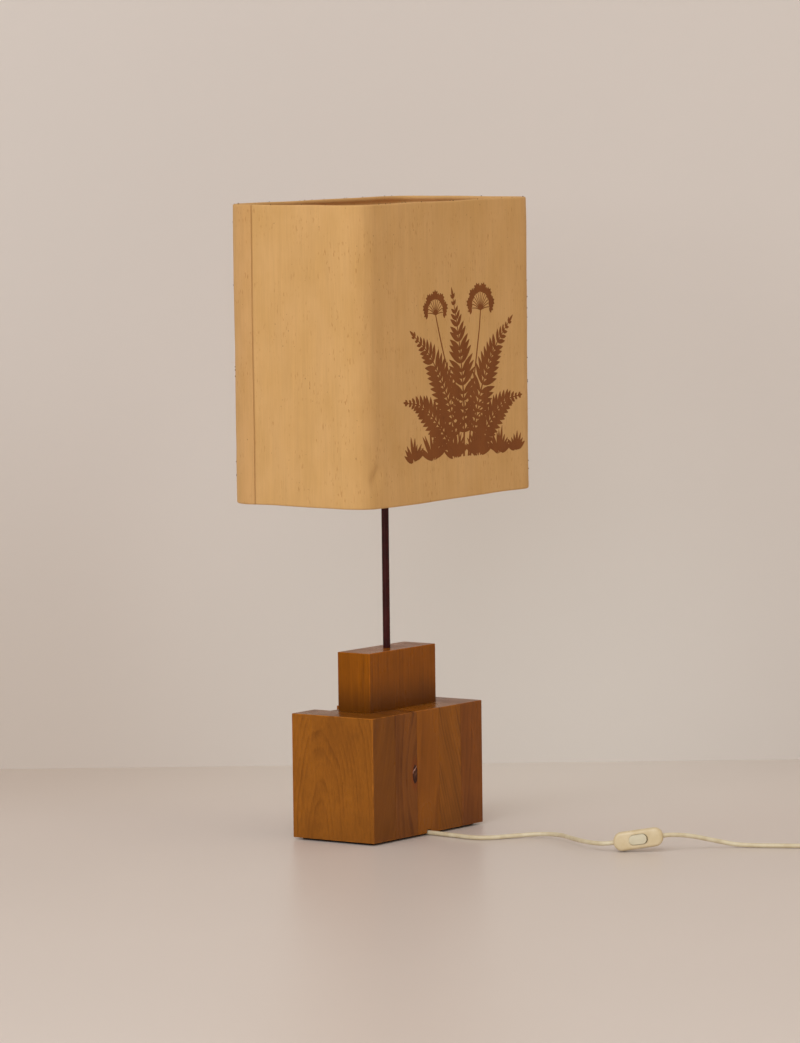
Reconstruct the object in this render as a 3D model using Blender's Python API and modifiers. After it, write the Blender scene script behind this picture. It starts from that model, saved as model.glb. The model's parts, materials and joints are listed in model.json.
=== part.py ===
"""Wooden table lamp with a fabric shade, an in-line rocker switch and a cord.

Lengths are in metres, +Z is up and the origin lies on the floor under the stem. X runs along
the lamp's long side. The cord leaves the middle of the long face on the -Y side.
"""
import math

import bmesh
import bpy
from mathutils import Matrix, Vector
from mathutils.geometry import interpolate_bezier

# Distance that touching solids keep from each other, and how far a cutter reaches past a face
GAP = 0.0003
PAST = 0.002

# Lower block: five boards side by side, the second and fourth set back on the +Y side
BOARD_PITCH = 0.051
BOARD_COUNT = 5
BLOCK_LENGTH = BOARD_PITCH * BOARD_COUNT
BLOCK_WIDTH = 0.134
BLOCK_HEIGHT = 0.168
FLUTE_DEPTH = 0.027
FLUTED_BOARDS = (2, 4)
EASED_EDGE = 0.0008
FELT_THICKNESS = 0.0025
FELT_INSET = 0.009
BLOCK_BOTTOM = FELT_THICKNESS + GAP
BLOCK_TOP = BLOCK_BOTTOM + BLOCK_HEIGHT

# Upper block, as long as the middle three boards
UPPER_LENGTH = 3 * BOARD_PITCH
UPPER_WIDTH = 0.053
UPPER_BOTTOM = BLOCK_TOP + GAP
UPPER_TOP = UPPER_BOTTOM + 0.080

# Dowels between the two blocks, one in each fluted board
DOWEL_RADIUS = 0.004
DOWEL_LENGTH = 0.050
DOWEL_X = BOARD_PITCH

# Wiring hollow in the underside, and the plate that closes it
HOLLOW_HALF_LENGTH = 0.034
HOLLOW_FRONT = -0.046
HOLLOW_BACK = 0.022
HOLLOW_CEILING = 0.054
PLATE_HALF_LENGTH = 0.046
PLATE_FRONT = -0.056
PLATE_BACK = 0.032
PLATE_THICKNESS = 0.0027
PLATE_SCREW_X = 0.040
PLATE_SCREW_FRONT = -0.051
PLATE_SCREW_BACK = 0.027

# Wood screws
SCREW_RADIUS = 0.0014
SCREW_HEAD_RADIUS = 0.0029
SCREW_HEAD_HEIGHT = 0.0016
SCREW_LENGTH = 0.014
SCREW_HOLE_RADIUS = SCREW_RADIUS + GAP

# Groove for the cord: its ceiling at stations along Y
GROOVE_WIDTH = 0.009
GROOVE_CEILING = ((-0.070, 0.0075), (-0.064, 0.0080), (-0.050, 0.0126), (-0.044, 0.0145))

# Saddle that carries the cord in its groove. It sits in a notch of the plate.
SADDLE_Y = -0.0505
SADDLE_WIDTH = 0.005
SADDLE_THICKNESS = 0.0012
SADDLE_DROP = 0.0014
SADDLE_FLOOR_HALF = 0.0048
SADDLE_HALF_LENGTH = 0.0120
SADDLE_SCREW_X = 0.0086
SADDLE_SCREW_HEAD = 0.0010
NOTCH_HALF_LENGTH = 0.0135
NOTCH_BACK = -0.0468

# Stem: a 10 mm lamp tube from the hollow to the lamp holder
TUBE_RADIUS = 0.005
TUBE_BORE = 0.004
TUBE_BOTTOM = 0.044
TUBE_TOP = 0.4885
STEM_HOLE_RADIUS = TUBE_RADIUS + GAP
NUT_RADIUS = 0.008
STEM_NUT_HEIGHT = 0.005
WASHER_RADIUS = 0.011
WASHER_THICKNESS = 0.0015
LOCK_NUT_HEIGHT = 0.0035

# Shade: a rounded box of fabric rolled over a wire at the top and at the bottom
SHADE_LENGTH = 0.420
SHADE_WIDTH = 0.222
SHADE_CORNER = 0.040
SHADE_BOTTOM = 0.4585
SHADE_TOP = 0.8570
CORNER_STEPS = 7
COVER_THICKNESS = 0.0010
WIRE_RADIUS = 0.0016
WIRE_INSET = 0.00305
HEM_HEIGHT = 0.014
HEM_INSET = 2 * COVER_THICKNESS + GAP
HEM_SLOT_WIDTH = 0.007
ARM_RADIUS = 0.0016

# Lamp holder: radii, and heights above the floor
HOLDER_BOTTOM = 0.4785
CAP_BOSS_RADIUS = 0.0085
CAP_RADIUS = 0.0190
CAP_WALL = 0.0015
CAP_TOP = 0.5080
FLANGE_BOTTOM = 0.5140
FLANGE_TOP = 0.5165
FLANGE_RADIUS = 0.0230
SLEEVE_TOP = 0.5450
SLEEVE_RADIUS = 0.0195
SLEEVE_BORE = 0.0180
FITTER_THICKNESS = 0.0022
FITTER_BORE = 0.0203
FITTER_RADIUS = 0.0265
CLAMP_RING_RADIUS = 0.0250
CLAMP_RING_BOTTOM = FLANGE_TOP + FITTER_THICKNESS + 2 * GAP
CLAMP_RING_HEIGHT = 0.0065
CLAMP_RING_GRIPS = 24
GRIP_RADIUS = 0.0012
INSERT_RADIUS = SLEEVE_BORE - GAP
INSERT_FOOT_RADIUS = 0.0168
INSERT_BOTTOM = 0.5030
INSERT_FLOOR = 0.5140
INSERT_TOP = 0.5430
THREAD_SHELL_RADIUS = 0.0142
THREAD_SHELL_BORE = 0.0136
THREAD_SHELL_BOTTOM = 0.5200
THREAD_SHELL_TOP = 0.5410
TERMINAL_X = 0.0095
TERMINAL_SCREW_RADIUS = 0.0015
TERMINAL_HEAD_RADIUS = 0.0028
TERMINAL_HEAD_HEIGHT = 0.0019
CORE_RADIUS = 0.0009

# Bulb with a 27 mm screw cap
BULB_CAP_RADIUS = 0.0131
BULB_CAP_RIM = 0.0142
BULB_CAP_BOTTOM = 0.5190
BULB_CAP_TOP = 0.5440
BULB_RADIUS = 0.030
BULB_WIDEST = 0.5960
BULB_WALL = 0.0010
BULB_NECK = ((0.0285, 0.5860), (0.0245, 0.5740), (0.0190, 0.5620), (0.0155, 0.5520),
             (0.0150, BULB_CAP_TOP + GAP))

# Cord, at its real length. The points of its free stretches are chosen by hand.
CORD_RADIUS = 0.003
CORD_SPACING = 0.014
CORD_TOP = 0.4890
CORD_EXIT = (0.0, -BLOCK_WIDTH / 2 - GAP, 0.0033)
ROUTE_INSIDE = (
    (0.0, -0.0670, 0.0033), (0.0, -0.0650, 0.0033), (0.0, -0.0610, 0.0044), (0.0, -0.0550, 0.0071),
    (0.0, -0.0505, 0.0083), (0.0, -0.0460, 0.0094), (0.0, -0.0400, 0.0112), (0.0, -0.0260, 0.0160),
    (0.0, -0.0130, 0.0235), (0.0, -0.0035, 0.0350), (0.0, -0.0003, 0.0470), (0.0, 0.0, 0.0600),
)
ROUTE_LEAD = (
    CORD_EXIT, (-0.0003, -0.0765, 0.0032), (-0.0018, -0.0905, 0.0031), (-0.0048, -0.1190, 0.0031),
    (-0.0076, -0.1395, 0.0031), (-0.0050, -0.1560, 0.0031), (0.0060, -0.1687, 0.0031),
    (0.0220, -0.1795, 0.0034), (0.0365, -0.1925, 0.0041), (0.0472, -0.2085, 0.0053),
    (0.0502, -0.2290, 0.0066), (0.0436, -0.2518, 0.0077), (0.0241, -0.2800, 0.0088),
    (0.0050, -0.3090, 0.0095), (-0.0056, -0.3335, 0.0097), (-0.0083, -0.3525, 0.0100),
)
ROUTE_TAIL = (
    (0.0463, -0.4396, 0.0211), (0.0641, -0.4506, 0.0179), (0.0818, -0.4617, 0.0128),
    (0.0970, -0.4742, 0.0082), (0.1083, -0.4889, 0.0046), (0.1211, -0.5106, 0.0032),
    (0.1337, -0.5355, 0.0031), (0.1483, -0.5637, 0.0031), (0.1654, -0.5883, 0.0034),
)

# Switch, lying on its long side with one end propped up by the stiff cord
SWITCH_CENTRE = (0.0142, -0.3962, 0.0164)
SWITCH_HEADING = math.radians(-58)
SWITCH_RISE = math.radians(8)
SWITCH_LEAN_BACK = math.radians(4)
SWITCH_LENGTH = 0.066
SWITCH_WIDTH = 0.025
SWITCH_HALF_DEPTH = 0.009
SWITCH_CORNER = 0.0115
SWITCH_EDGE = 0.0028
SWITCH_WALL = 0.0018
SWITCH_ENTRY_DEPTH = 0.004
SWITCH_STRAIGHT = 0.009
SWITCH_BOSS_RADIUS = 0.0039
SWITCH_SCREW_RADIUS = 0.0011
SWITCH_SCREW_HEAD = 0.0023
SWITCH_SCREW_PLACES = ((-0.0215, 0.0070, 0.0), (0.0215, -0.0070, 0.0))
ROCKER_LENGTH = 0.0244
ROCKER_WIDTH = 0.0140
ROCKER_CORNER = 0.0064
ROCKER_END = 0.0110
ROCKER_MIDDLE = 0.0092
ROCKER_BOTTOM = 0.0030
ROCKER_PIVOT = 0.0055
ROCKER_TILT = math.radians(8)
WINDOW_LENGTH = 0.0272
WINDOW_WIDTH = 0.0148
WINDOW_CORNER = 0.0070
PIVOT_RADIUS = 0.0010
PIVOT_HALF_LENGTH = 0.0104
BRIDGE_HALF_LENGTH = 0.0075
CONTACT_FOOT = 0.0065
CONTACT_HEIGHT = 0.0074
CONTACT_METAL = 0.0007
CONTACT_X = 0.0132
CONTACT_WIDTH = 0.005

# Coil of the put-away cord: two layers of loops, in and out again
COIL_CENTRE = (0.2178, -0.5875)
COIL_START_ANGLE = math.radians(-144.3)
COIL_RADIUS = 0.042
COIL_PITCH = 0.0066
COIL_LAYER_TURNS = 2.375
COIL_CLIMB_TURNS = 0.5
COIL_TOTAL_TURNS = 2 * COIL_LAYER_TURNS + COIL_CLIMB_TURNS
COIL_LOW = 0.0040
COIL_HIGH = COIL_LOW + COIL_PITCH
COIL_POINTS_PER_TURN = 24

# Plug: a flat two-pin body with a tapered strain relief
PLUG_RUN = 0.032
PLUG_HEIGHT = 0.0137
PLUG_WIDTH = 0.026
PLUG_LENGTH = 0.035
PLUG_SHOULDER = 0.012
PLUG_BACK_WIDTH = 0.014
PLUG_EDGE = 0.0022
PLUG_AXIS_HEIGHT = PLUG_HEIGHT / 2 + 0.0003
RELIEF_LENGTH = 0.022
RELIEF_FRONT_RADIUS = 0.0050
RELIEF_BACK_RADIUS = 0.0036
RELIEF_OVERLAP = 0.004
PIN_RADIUS = 0.0020
PIN_LENGTH = 0.019
PIN_SPACING = 0.0186

# Turns a flat outline upright: its X stays, its Y becomes Z
UPRIGHT = Matrix.Rotation(math.pi / 2, 4, "X")


def start_scene():
    """Removes what the scene holds and makes the collections for the parts and the cutters."""
    for old in list(bpy.data.objects):
        bpy.data.objects.remove(old, do_unlink=True)
    made = []
    for title in ("wooden_table_lamp", "cutters"):
        made.append(bpy.data.collections.new(title))
        bpy.context.scene.collection.children.link(made[-1])
    return made


PARTS, CUTTERS = start_scene()


def material(title, colour, roughness, metallic=0.0):
    """A Principled material with a plain colour."""
    made = bpy.data.materials.new(title)
    made.use_nodes = True
    shader = made.node_tree.nodes["Principled BSDF"]
    shader.inputs["Base Color"].default_value = (*colour, 1.0)
    shader.inputs["Roughness"].default_value = roughness
    shader.inputs["Metallic"].default_value = metallic
    made.diffuse_color = (*colour, 1.0)
    return made


WOOD = material("oiled_wood", (0.25, 0.10, 0.03), 0.4)
DARK_WOOD = material("upper_block_wood", (0.20, 0.07, 0.015), 0.35)
HARDBOARD = material("hardboard", (0.20, 0.11, 0.05), 0.8)
FELT = material("dark_felt", (0.03, 0.022, 0.02), 0.95)
LACQUER = material("maroon_lacquer", (0.07, 0.008, 0.010), 0.25)
STEEL = material("zinc_plated_steel", (0.55, 0.54, 0.52), 0.35, 1.0)
BRASS = material("brass", (0.70, 0.50, 0.22), 0.3, 1.0)
BAKELITE = material("brown_bakelite", (0.035, 0.018, 0.012), 0.35)
CERAMIC = material("white_ceramic", (0.75, 0.73, 0.68), 0.3)
OPAL_GLASS = material("opal_glass", (0.85, 0.83, 0.78), 0.2)
WHITE_WIRE = material("white_painted_wire", (0.70, 0.67, 0.60), 0.4)
FABRIC = material("beige_fabric", (0.52, 0.31, 0.13), 0.85)
CREAM_CORD = material("cream_cord", (0.62, 0.50, 0.32), 0.5)
CREAM_PLASTIC = material("cream_plastic", (0.68, 0.58, 0.38), 0.35)
ROCKER_PLASTIC = material("rocker_plastic", (0.60, 0.53, 0.38), 0.4)


def add(title, data, finish=None, parent=None):
    """Adds a part, or a cutter when it has no finish."""
    made = bpy.data.objects.new(title, data)
    if finish is None:
        CUTTERS.objects.link(made)
        made.hide_render = True
        made.display_type = "WIRE"
    else:
        PARTS.objects.link(made)
        data.materials.append(finish)
    made.parent = parent
    return made


def add_frame(title, axes, place):
    """An empty whose X, Y and Z axes and place are given, to carry other objects."""
    frame = bpy.data.objects.new(title, None)
    PARTS.objects.link(frame)
    frame.matrix_world = Matrix.Translation(place) @ Matrix(axes).transposed().to_4x4()
    bpy.context.view_layer.update()
    return frame


def copies(first, places):
    """Numbers a piece and adds copies of it that share its mesh, one at each place."""
    title = first.name
    for number, place in enumerate(places, 1):
        made = first if number == 1 else first.copy()
        made.name = "%s_%d" % (title, number)
        made.location = place
        if number > 1:
            PARTS.objects.link(made)


def row(cutter, count, offset):
    """Repeats a cutter, one offset apart."""
    array = cutter.modifiers.new("row", "ARRAY")
    array.count = count
    array.use_relative_offset = False
    array.use_constant_offset = True
    array.constant_offset_displace = offset


def cut(body, *cutters):
    """Cuts a body with each cutter."""
    for cutter in cutters:
        boolean = body.modifiers.new(cutter.name, "BOOLEAN")
        boolean.operation = "DIFFERENCE"
        boolean.solver = "EXACT"
        boolean.object = cutter
    return body


def mesh_from(shape, title):
    """Turns a bmesh into mesh data."""
    data = bpy.data.meshes.new(title)
    shape.to_mesh(data)
    shape.free()
    return data


def box_shape(low, high):
    """A bmesh box between two corners."""
    low, high = Vector(low), Vector(high)
    shape = bmesh.new()
    bmesh.ops.create_cube(shape, size=1.0)
    bmesh.ops.scale(shape, vec=high - low, verts=shape.verts)
    bmesh.ops.translate(shape, vec=(high + low) / 2, verts=shape.verts)
    shape.normal_update()
    return shape


def face_name(face):
    """The direction that a box's face points in, such as +X."""
    axis = max(range(3), key=lambda k: abs(face.normal[k]))
    return ("-" if face.normal[axis] < 0 else "+") + "XYZ"[axis]


def box(title, low, high, finish=None, eased=(), parent=None):
    """A box between two corners, with the edges eased where two of the named faces meet."""
    shape = box_shape(low, high)
    wanted = [frozenset(pair) for pair in eased]
    edges = [edge for edge in shape.edges if frozenset(map(face_name, edge.link_faces)) in wanted]
    if edges:
        bmesh.ops.bevel(shape, geom=edges, offset=EASED_EDGE, affect="EDGES", segments=2, profile=0.5)
    return add(title, mesh_from(shape, title), finish, parent)


def rod(title, radius, bottom, top, sides, finish=None, parent=None):
    """An upright cylinder between two heights."""
    shape = bmesh.new()
    bmesh.ops.create_cone(shape, cap_ends=True, segments=sides, radius1=radius, radius2=radius,
                          depth=top - bottom)
    bmesh.ops.translate(shape, vec=(0.0, 0.0, (bottom + top) / 2), verts=shape.verts)
    data = mesh_from(shape, title)
    data.shade_smooth()
    data.set_sharp_from_angle(angle=math.radians(40))
    return add(title, data, finish, parent)


def rounded_shape(length, width, bottom, top, corner, edge=0.0, rim="+Z"):
    """A bmesh plate with rounded corners, and a rounded rim on one of its flat faces."""
    shape = box_shape((-length / 2, -width / 2, bottom), (length / 2, width / 2, top))
    upright = [side for side in shape.edges if abs(side.verts[0].co.z - side.verts[1].co.z) > GAP]
    bmesh.ops.bevel(shape, geom=upright, offset=corner, affect="EDGES", segments=6, profile=0.5)
    shape.normal_update()
    if edge:
        flat = next(face for face in shape.faces if len(face.edges) > 4 and face_name(face) == rim)
        bmesh.ops.bevel(shape, geom=list(flat.edges), offset=edge, affect="EDGES", segments=3, profile=0.5)
    return shape


def turned(title, outline, finish=None, steps=32, closed=False, parent=None):
    """Turns a profile of radii and heights, given down its outer side, about the Z axis."""
    edges = [(k, k + 1) for k in range(len(outline) - 1)]
    if closed:
        edges.append((len(outline) - 1, 0))
    data = bpy.data.meshes.new(title)
    data.from_pydata([(radius, 0.0, height) for radius, height in outline], edges, [])
    made = add(title, data, finish, parent)
    screw = made.modifiers.new("turn", "SCREW")
    screw.steps = steps
    screw.render_steps = steps
    screw.use_merge_vertices = True
    screw.merge_threshold = 0.00001
    screw.use_smooth_shade = True
    return made


def ring(title, bore, radius, bottom, top, finish, steps=24):
    """A plain ring, washer or tube."""
    outline = [(radius, top), (radius, bottom), (bore, bottom), (bore, top)]
    return turned(title, outline, finish, steps, closed=True)


def smooth_route(points, spacing, before=None, after=None):
    """Evenly spaced points on a smooth curve through the given ones.

    A point before the first or after the last only guides the heading there.
    """
    knots = [Vector(point) for point in points]
    earlier = [Vector(before or points[0])] + knots[:-1]
    later = knots[1:] + [Vector(after or points[-1])]
    headings = [(b - a).normalized() for a, b in zip(earlier, later)]
    fine = knots[:1]
    for k in range(len(knots) - 1):
        reach = (knots[k + 1] - knots[k]).length / 3
        fine += interpolate_bezier(knots[k], knots[k] + headings[k] * reach,
                                   knots[k + 1] - headings[k + 1] * reach, knots[k + 1], 17)[1:]
    count = max(2, round(run_length(fine) / spacing))
    step = run_length(fine) / count
    even, walked = fine[:1], 0.0
    for start, end in zip(fine, fine[1:]):
        run = (end - start).length
        while len(even) < count and walked + run >= step * len(even):
            even.append(start.lerp(end, (step * len(even) - walked) / run))
        walked += run
    return even + fine[-1:]


def run_length(points):
    """Length of a run of points."""
    return sum((b - a).length for a, b in zip(points, points[1:]))


def tube(title, points, radius, finish, resolution=2, closed=False):
    """A round tube along points."""
    data = bpy.data.curves.new(title, "CURVE")
    data.dimensions = "3D"
    data.bevel_depth = radius
    data.bevel_resolution = resolution
    data.use_fill_caps = not closed
    add_spline(data, points, closed)
    return add(title, data, finish)


def add_spline(data, points, closed):
    """Adds one run of straight pieces to a curve."""
    spline = data.splines.new("POLY")
    spline.points.add(len(points) - 1)
    for slot, point in zip(spline.points, points):
        slot.co = (*Vector(point).to_3d(), 1.0)
    spline.use_cyclic_u = closed


def flat_shape(title, outline, thickness, place, finish=None, parent=None):
    """A flat plate from a closed outline in its own XY plane, as a mesh."""
    data = bpy.data.curves.new(title, "CURVE")
    data.dimensions = "2D"
    data.fill_mode = "BOTH"
    data.extrude = thickness / 2
    add_spline(data, outline, True)
    guide = bpy.data.objects.new(title, data)
    CUTTERS.objects.link(guide)
    graph = bpy.context.evaluated_depsgraph_get()
    mesh = bpy.data.meshes.new_from_object(guide.evaluated_get(graph))
    bpy.data.objects.remove(guide, do_unlink=True)
    shape = bmesh.new()
    shape.from_mesh(mesh)
    bmesh.ops.remove_doubles(shape, verts=shape.verts, dist=0.00001)
    made = add(title, mesh_from(shape, title), finish, parent)
    made.matrix_basis = place
    return made


def shade_loop(inset, height):
    """Points of the shade's rounded outline, brought in by an inset."""
    points = []
    radius = SHADE_CORNER - inset
    for quarter, (side_x, side_y) in enumerate(((1, 1), (-1, 1), (-1, -1), (1, -1))):
        centre_x = side_x * (SHADE_LENGTH / 2 - SHADE_CORNER)
        centre_y = side_y * (SHADE_WIDTH / 2 - SHADE_CORNER)
        for step in range(CORNER_STEPS + 1):
            angle = math.pi / 2 * (quarter + step / CORNER_STEPS)
            points.append((centre_x + radius * math.cos(angle), centre_y + radius * math.sin(angle), height))
    return points


def make_boards():
    """The five boards and the upper block, with the wiring hollow, the groove and the holes."""
    seat = BLOCK_BOTTOM + PLATE_THICKNESS + GAP
    hollow = box("cut_hollow", (-HOLLOW_HALF_LENGTH, HOLLOW_FRONT, 0.0),
                 (HOLLOW_HALF_LENGTH, HOLLOW_BACK, HOLLOW_CEILING))
    rebate = box("cut_rebate", (-PLATE_HALF_LENGTH - GAP, PLATE_FRONT - GAP, 0.0),
                 (PLATE_HALF_LENGTH + GAP, PLATE_BACK + GAP, seat))
    plate_holes = rod("cut_plate_holes", SCREW_HOLE_RADIUS, 0.0, seat + SCREW_LENGTH, 10)
    plate_holes.location = (-PLATE_SCREW_X, PLATE_SCREW_FRONT, 0.0)
    row(plate_holes, 2, (2 * PLATE_SCREW_X, 0.0, 0.0))
    row(plate_holes, 2, (0.0, PLATE_SCREW_BACK - PLATE_SCREW_FRONT, 0.0))
    saddle_holes = rod("cut_saddle_holes", SCREW_HOLE_RADIUS, 0.0, seat + SCREW_LENGTH, 10)
    saddle_holes.location = (-SADDLE_SCREW_X, SADDLE_Y, 0.0)
    row(saddle_holes, 2, (2 * SADDLE_SCREW_X, 0.0, 0.0))
    reach = DOWEL_LENGTH / 2 + 0.001
    dowel_holes = rod("cut_dowel_holes", DOWEL_RADIUS + GAP, UPPER_BOTTOM - reach, UPPER_BOTTOM + reach, 16)
    dowel_holes.location.x = -DOWEL_X
    row(dowel_holes, 2, (2 * DOWEL_X, 0.0, 0.0))
    stem_hole = rod("cut_stem_hole", STEM_HOLE_RADIUS, HOLLOW_CEILING - PAST, UPPER_TOP + PAST, 24)
    floor = [(GROOVE_CEILING[-1][0], -PAST), (GROOVE_CEILING[0][0], -PAST)]
    groove = flat_shape("cut_groove", [*GROOVE_CEILING, *floor], GROOVE_WIDTH,
                        Matrix.Rotation(math.pi / 2, 4, "Z") @ UPRIGHT)

    for number in range(1, BOARD_COUNT + 1):
        start = -BLOCK_LENGTH / 2 + BOARD_PITCH * (number - 1)
        back = BLOCK_WIDTH / 2 - (FLUTE_DEPTH if number in FLUTED_BOARDS else 0.0)
        board = box("base_board_%d" % number, (start + GAP / 2, -BLOCK_WIDTH / 2, BLOCK_BOTTOM),
                    (start + BOARD_PITCH - GAP / 2, back, BLOCK_TOP), WOOD, eased_edges(number))
        if 1 < number < BOARD_COUNT:
            cut(board, hollow, rebate)
        if number in FLUTED_BOARDS:
            cut(board, plate_holes, dowel_holes)
        elif 1 < number < BOARD_COUNT:
            cut(board, groove, stem_hole, saddle_holes)

    sides = ("-X", "-Y", "+X", "+Y")
    eased = list(zip(sides, sides[1:] + sides[:1])) + [(side, "+Z") for side in sides]
    upper = box("upper_block", (-UPPER_LENGTH / 2, -UPPER_WIDTH / 2, UPPER_BOTTOM),
                (UPPER_LENGTH / 2, UPPER_WIDTH / 2, UPPER_TOP), DARK_WOOD, eased)
    cut(upper, stem_hole, dowel_holes)
    dowel = rod("block_dowel", DOWEL_RADIUS, UPPER_BOTTOM - DOWEL_LENGTH / 2,
                UPPER_BOTTOM + DOWEL_LENGTH / 2, 16, WOOD)
    copies(dowel, [(-DOWEL_X, 0.0, 0.0), (DOWEL_X, 0.0, 0.0)])


def eased_edges(number):
    """Pairs of a board's faces whose shared edge shows and is eased."""
    pairs = [("-Y", "+Z"), ("+Y", "+Z"), ("-Y", "-Z"), ("+Y", "-Z")]
    ends = {1: ("-X",), BOARD_COUNT: ("+X",)}.get(number, ())
    for end in ends:
        pairs += [(end, "-Y"), (end, "+Z"), (end, "-Z")]
    if number not in FLUTED_BOARDS:
        pairs += [("-X", "+Y"), ("+X", "+Y")]
    return pairs


def make_underside():
    """The closing plate and its screws, the saddle under the cord and its screws, and the felt."""
    plate = box("base_plate", (-PLATE_HALF_LENGTH, PLATE_FRONT, BLOCK_BOTTOM),
                (PLATE_HALF_LENGTH, PLATE_BACK, BLOCK_BOTTOM + PLATE_THICKNESS), HARDBOARD)
    notch = box("cut_plate_notch", (-NOTCH_HALF_LENGTH, PLATE_FRONT - PAST, 0.0),
                (NOTCH_HALF_LENGTH, NOTCH_BACK, HOLLOW_CEILING))
    head, neck = SCREW_HEAD_RADIUS + GAP, SCREW_HOLE_RADIUS
    sinks = turned("cut_plate_sinks", [
        (0.0, PLATE_THICKNESS + PAST), (neck, PLATE_THICKNESS + PAST), (neck, SCREW_HEAD_HEIGHT + GAP),
        (head, GAP), (head, -PAST), (0.0, -PAST)], steps=10)
    sinks.location = (-PLATE_SCREW_X, PLATE_SCREW_FRONT, BLOCK_BOTTOM)
    row(sinks, 2, (2 * PLATE_SCREW_X, 0.0, 0.0))
    row(sinks, 2, (0.0, PLATE_SCREW_BACK - PLATE_SCREW_FRONT, 0.0))
    cut(plate, notch, sinks)
    screw = turned("base_plate_screw", [
        (0.0, SCREW_LENGTH), (SCREW_RADIUS * 0.5, SCREW_LENGTH), (SCREW_RADIUS, SCREW_LENGTH * 0.85),
        (SCREW_RADIUS, SCREW_HEAD_HEIGHT), (SCREW_HEAD_RADIUS, 0.0), (0.0, 0.0)], STEEL, 10)
    copies(screw, [(x, y, BLOCK_BOTTOM) for x in (-PLATE_SCREW_X, PLATE_SCREW_X)
                   for y in (PLATE_SCREW_FRONT, PLATE_SCREW_BACK)])

    foot = BLOCK_BOTTOM + PLATE_THICKNESS - SADDLE_THICKNESS
    lower = [(SADDLE_FLOOR_HALF, foot - SADDLE_DROP), (SADDLE_FLOOR_HALF + SADDLE_DROP, foot),
             (SADDLE_HALF_LENGTH, foot)]
    upper = [(SADDLE_HALF_LENGTH, foot + SADDLE_THICKNESS),
             (SADDLE_FLOOR_HALF + SADDLE_DROP / 2, foot + SADDLE_THICKNESS),
             (SADDLE_FLOOR_HALF - SADDLE_DROP / 2, foot + SADDLE_THICKNESS - SADDLE_DROP)]
    half = lower + upper
    outline = half + [(-x, z) for x, z in reversed(half)]
    saddle = flat_shape("cord_saddle", outline, SADDLE_WIDTH,
                        Matrix.Translation((0.0, SADDLE_Y, 0.0)) @ UPRIGHT, STEEL)
    holes = rod("cut_saddle_foot_holes", SCREW_HOLE_RADIUS, foot - PAST, foot + SADDLE_THICKNESS + PAST, 10)
    holes.location = (-SADDLE_SCREW_X, SADDLE_Y, 0.0)
    row(holes, 2, (2 * SADDLE_SCREW_X, 0.0, 0.0))
    cut(saddle, holes)
    pan_head = turned("cord_saddle_screw", [
        (0.0, SCREW_LENGTH * 0.8), (SCREW_RADIUS * 0.5, SCREW_LENGTH * 0.8),
        (SCREW_RADIUS, SCREW_LENGTH * 0.68), (SCREW_RADIUS, 0.0), (SCREW_HEAD_RADIUS * 0.8, 0.0),
        (SCREW_HEAD_RADIUS * 0.8, -SADDLE_SCREW_HEAD), (0.0, -SADDLE_SCREW_HEAD)], STEEL, 10)
    copies(pan_head, [(side * SADDLE_SCREW_X, SADDLE_Y, foot - GAP) for side in (-1, 1)])

    half_x, half_y = BLOCK_LENGTH / 2 - FELT_INSET, BLOCK_WIDTH / 2 - FELT_INSET
    felt = box("base_felt", (-half_x, -half_y, 0.0), (half_x, half_y, FELT_THICKNESS), FELT)
    mouth = box("cut_felt_mouth", (-GROOVE_WIDTH / 2, -half_y - PAST, -PAST),
                (GROOVE_WIDTH / 2, HOLLOW_FRONT, FELT_THICKNESS + PAST))
    flutes = box("cut_felt_flutes", (-1.5 * BOARD_PITCH - FELT_INSET, half_y - FLUTE_DEPTH, -PAST),
                 (-0.5 * BOARD_PITCH + FELT_INSET, half_y + PAST, FELT_THICKNESS + PAST))
    row(flutes, 2, (2 * BOARD_PITCH, 0.0, 0.0))
    cut(felt, mouth, flutes)


def make_stem():
    """The lamp tube, its washer and nut in the hollow, and the lock nut under the holder."""
    ring("stem_tube", TUBE_BORE, TUBE_RADIUS, TUBE_BOTTOM, TUBE_TOP, LACQUER)
    washer_top = HOLLOW_CEILING - GAP
    washer_bottom = washer_top - WASHER_THICKNESS
    ring("stem_washer", STEM_HOLE_RADIUS, WASHER_RADIUS, washer_bottom, washer_top, STEEL)
    bore = rod("cut_nut_bore", STEM_HOLE_RADIUS, 0.0, HOLDER_BOTTOM, 24)
    for title, top, height in (("stem_nut", washer_bottom - GAP, STEM_NUT_HEIGHT),
                               ("holder_lock_nut", HOLDER_BOTTOM - GAP, LOCK_NUT_HEIGHT)):
        nut = rod(title, NUT_RADIUS, top - height, top, 6, STEEL)
        cut(nut, bore)


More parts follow.
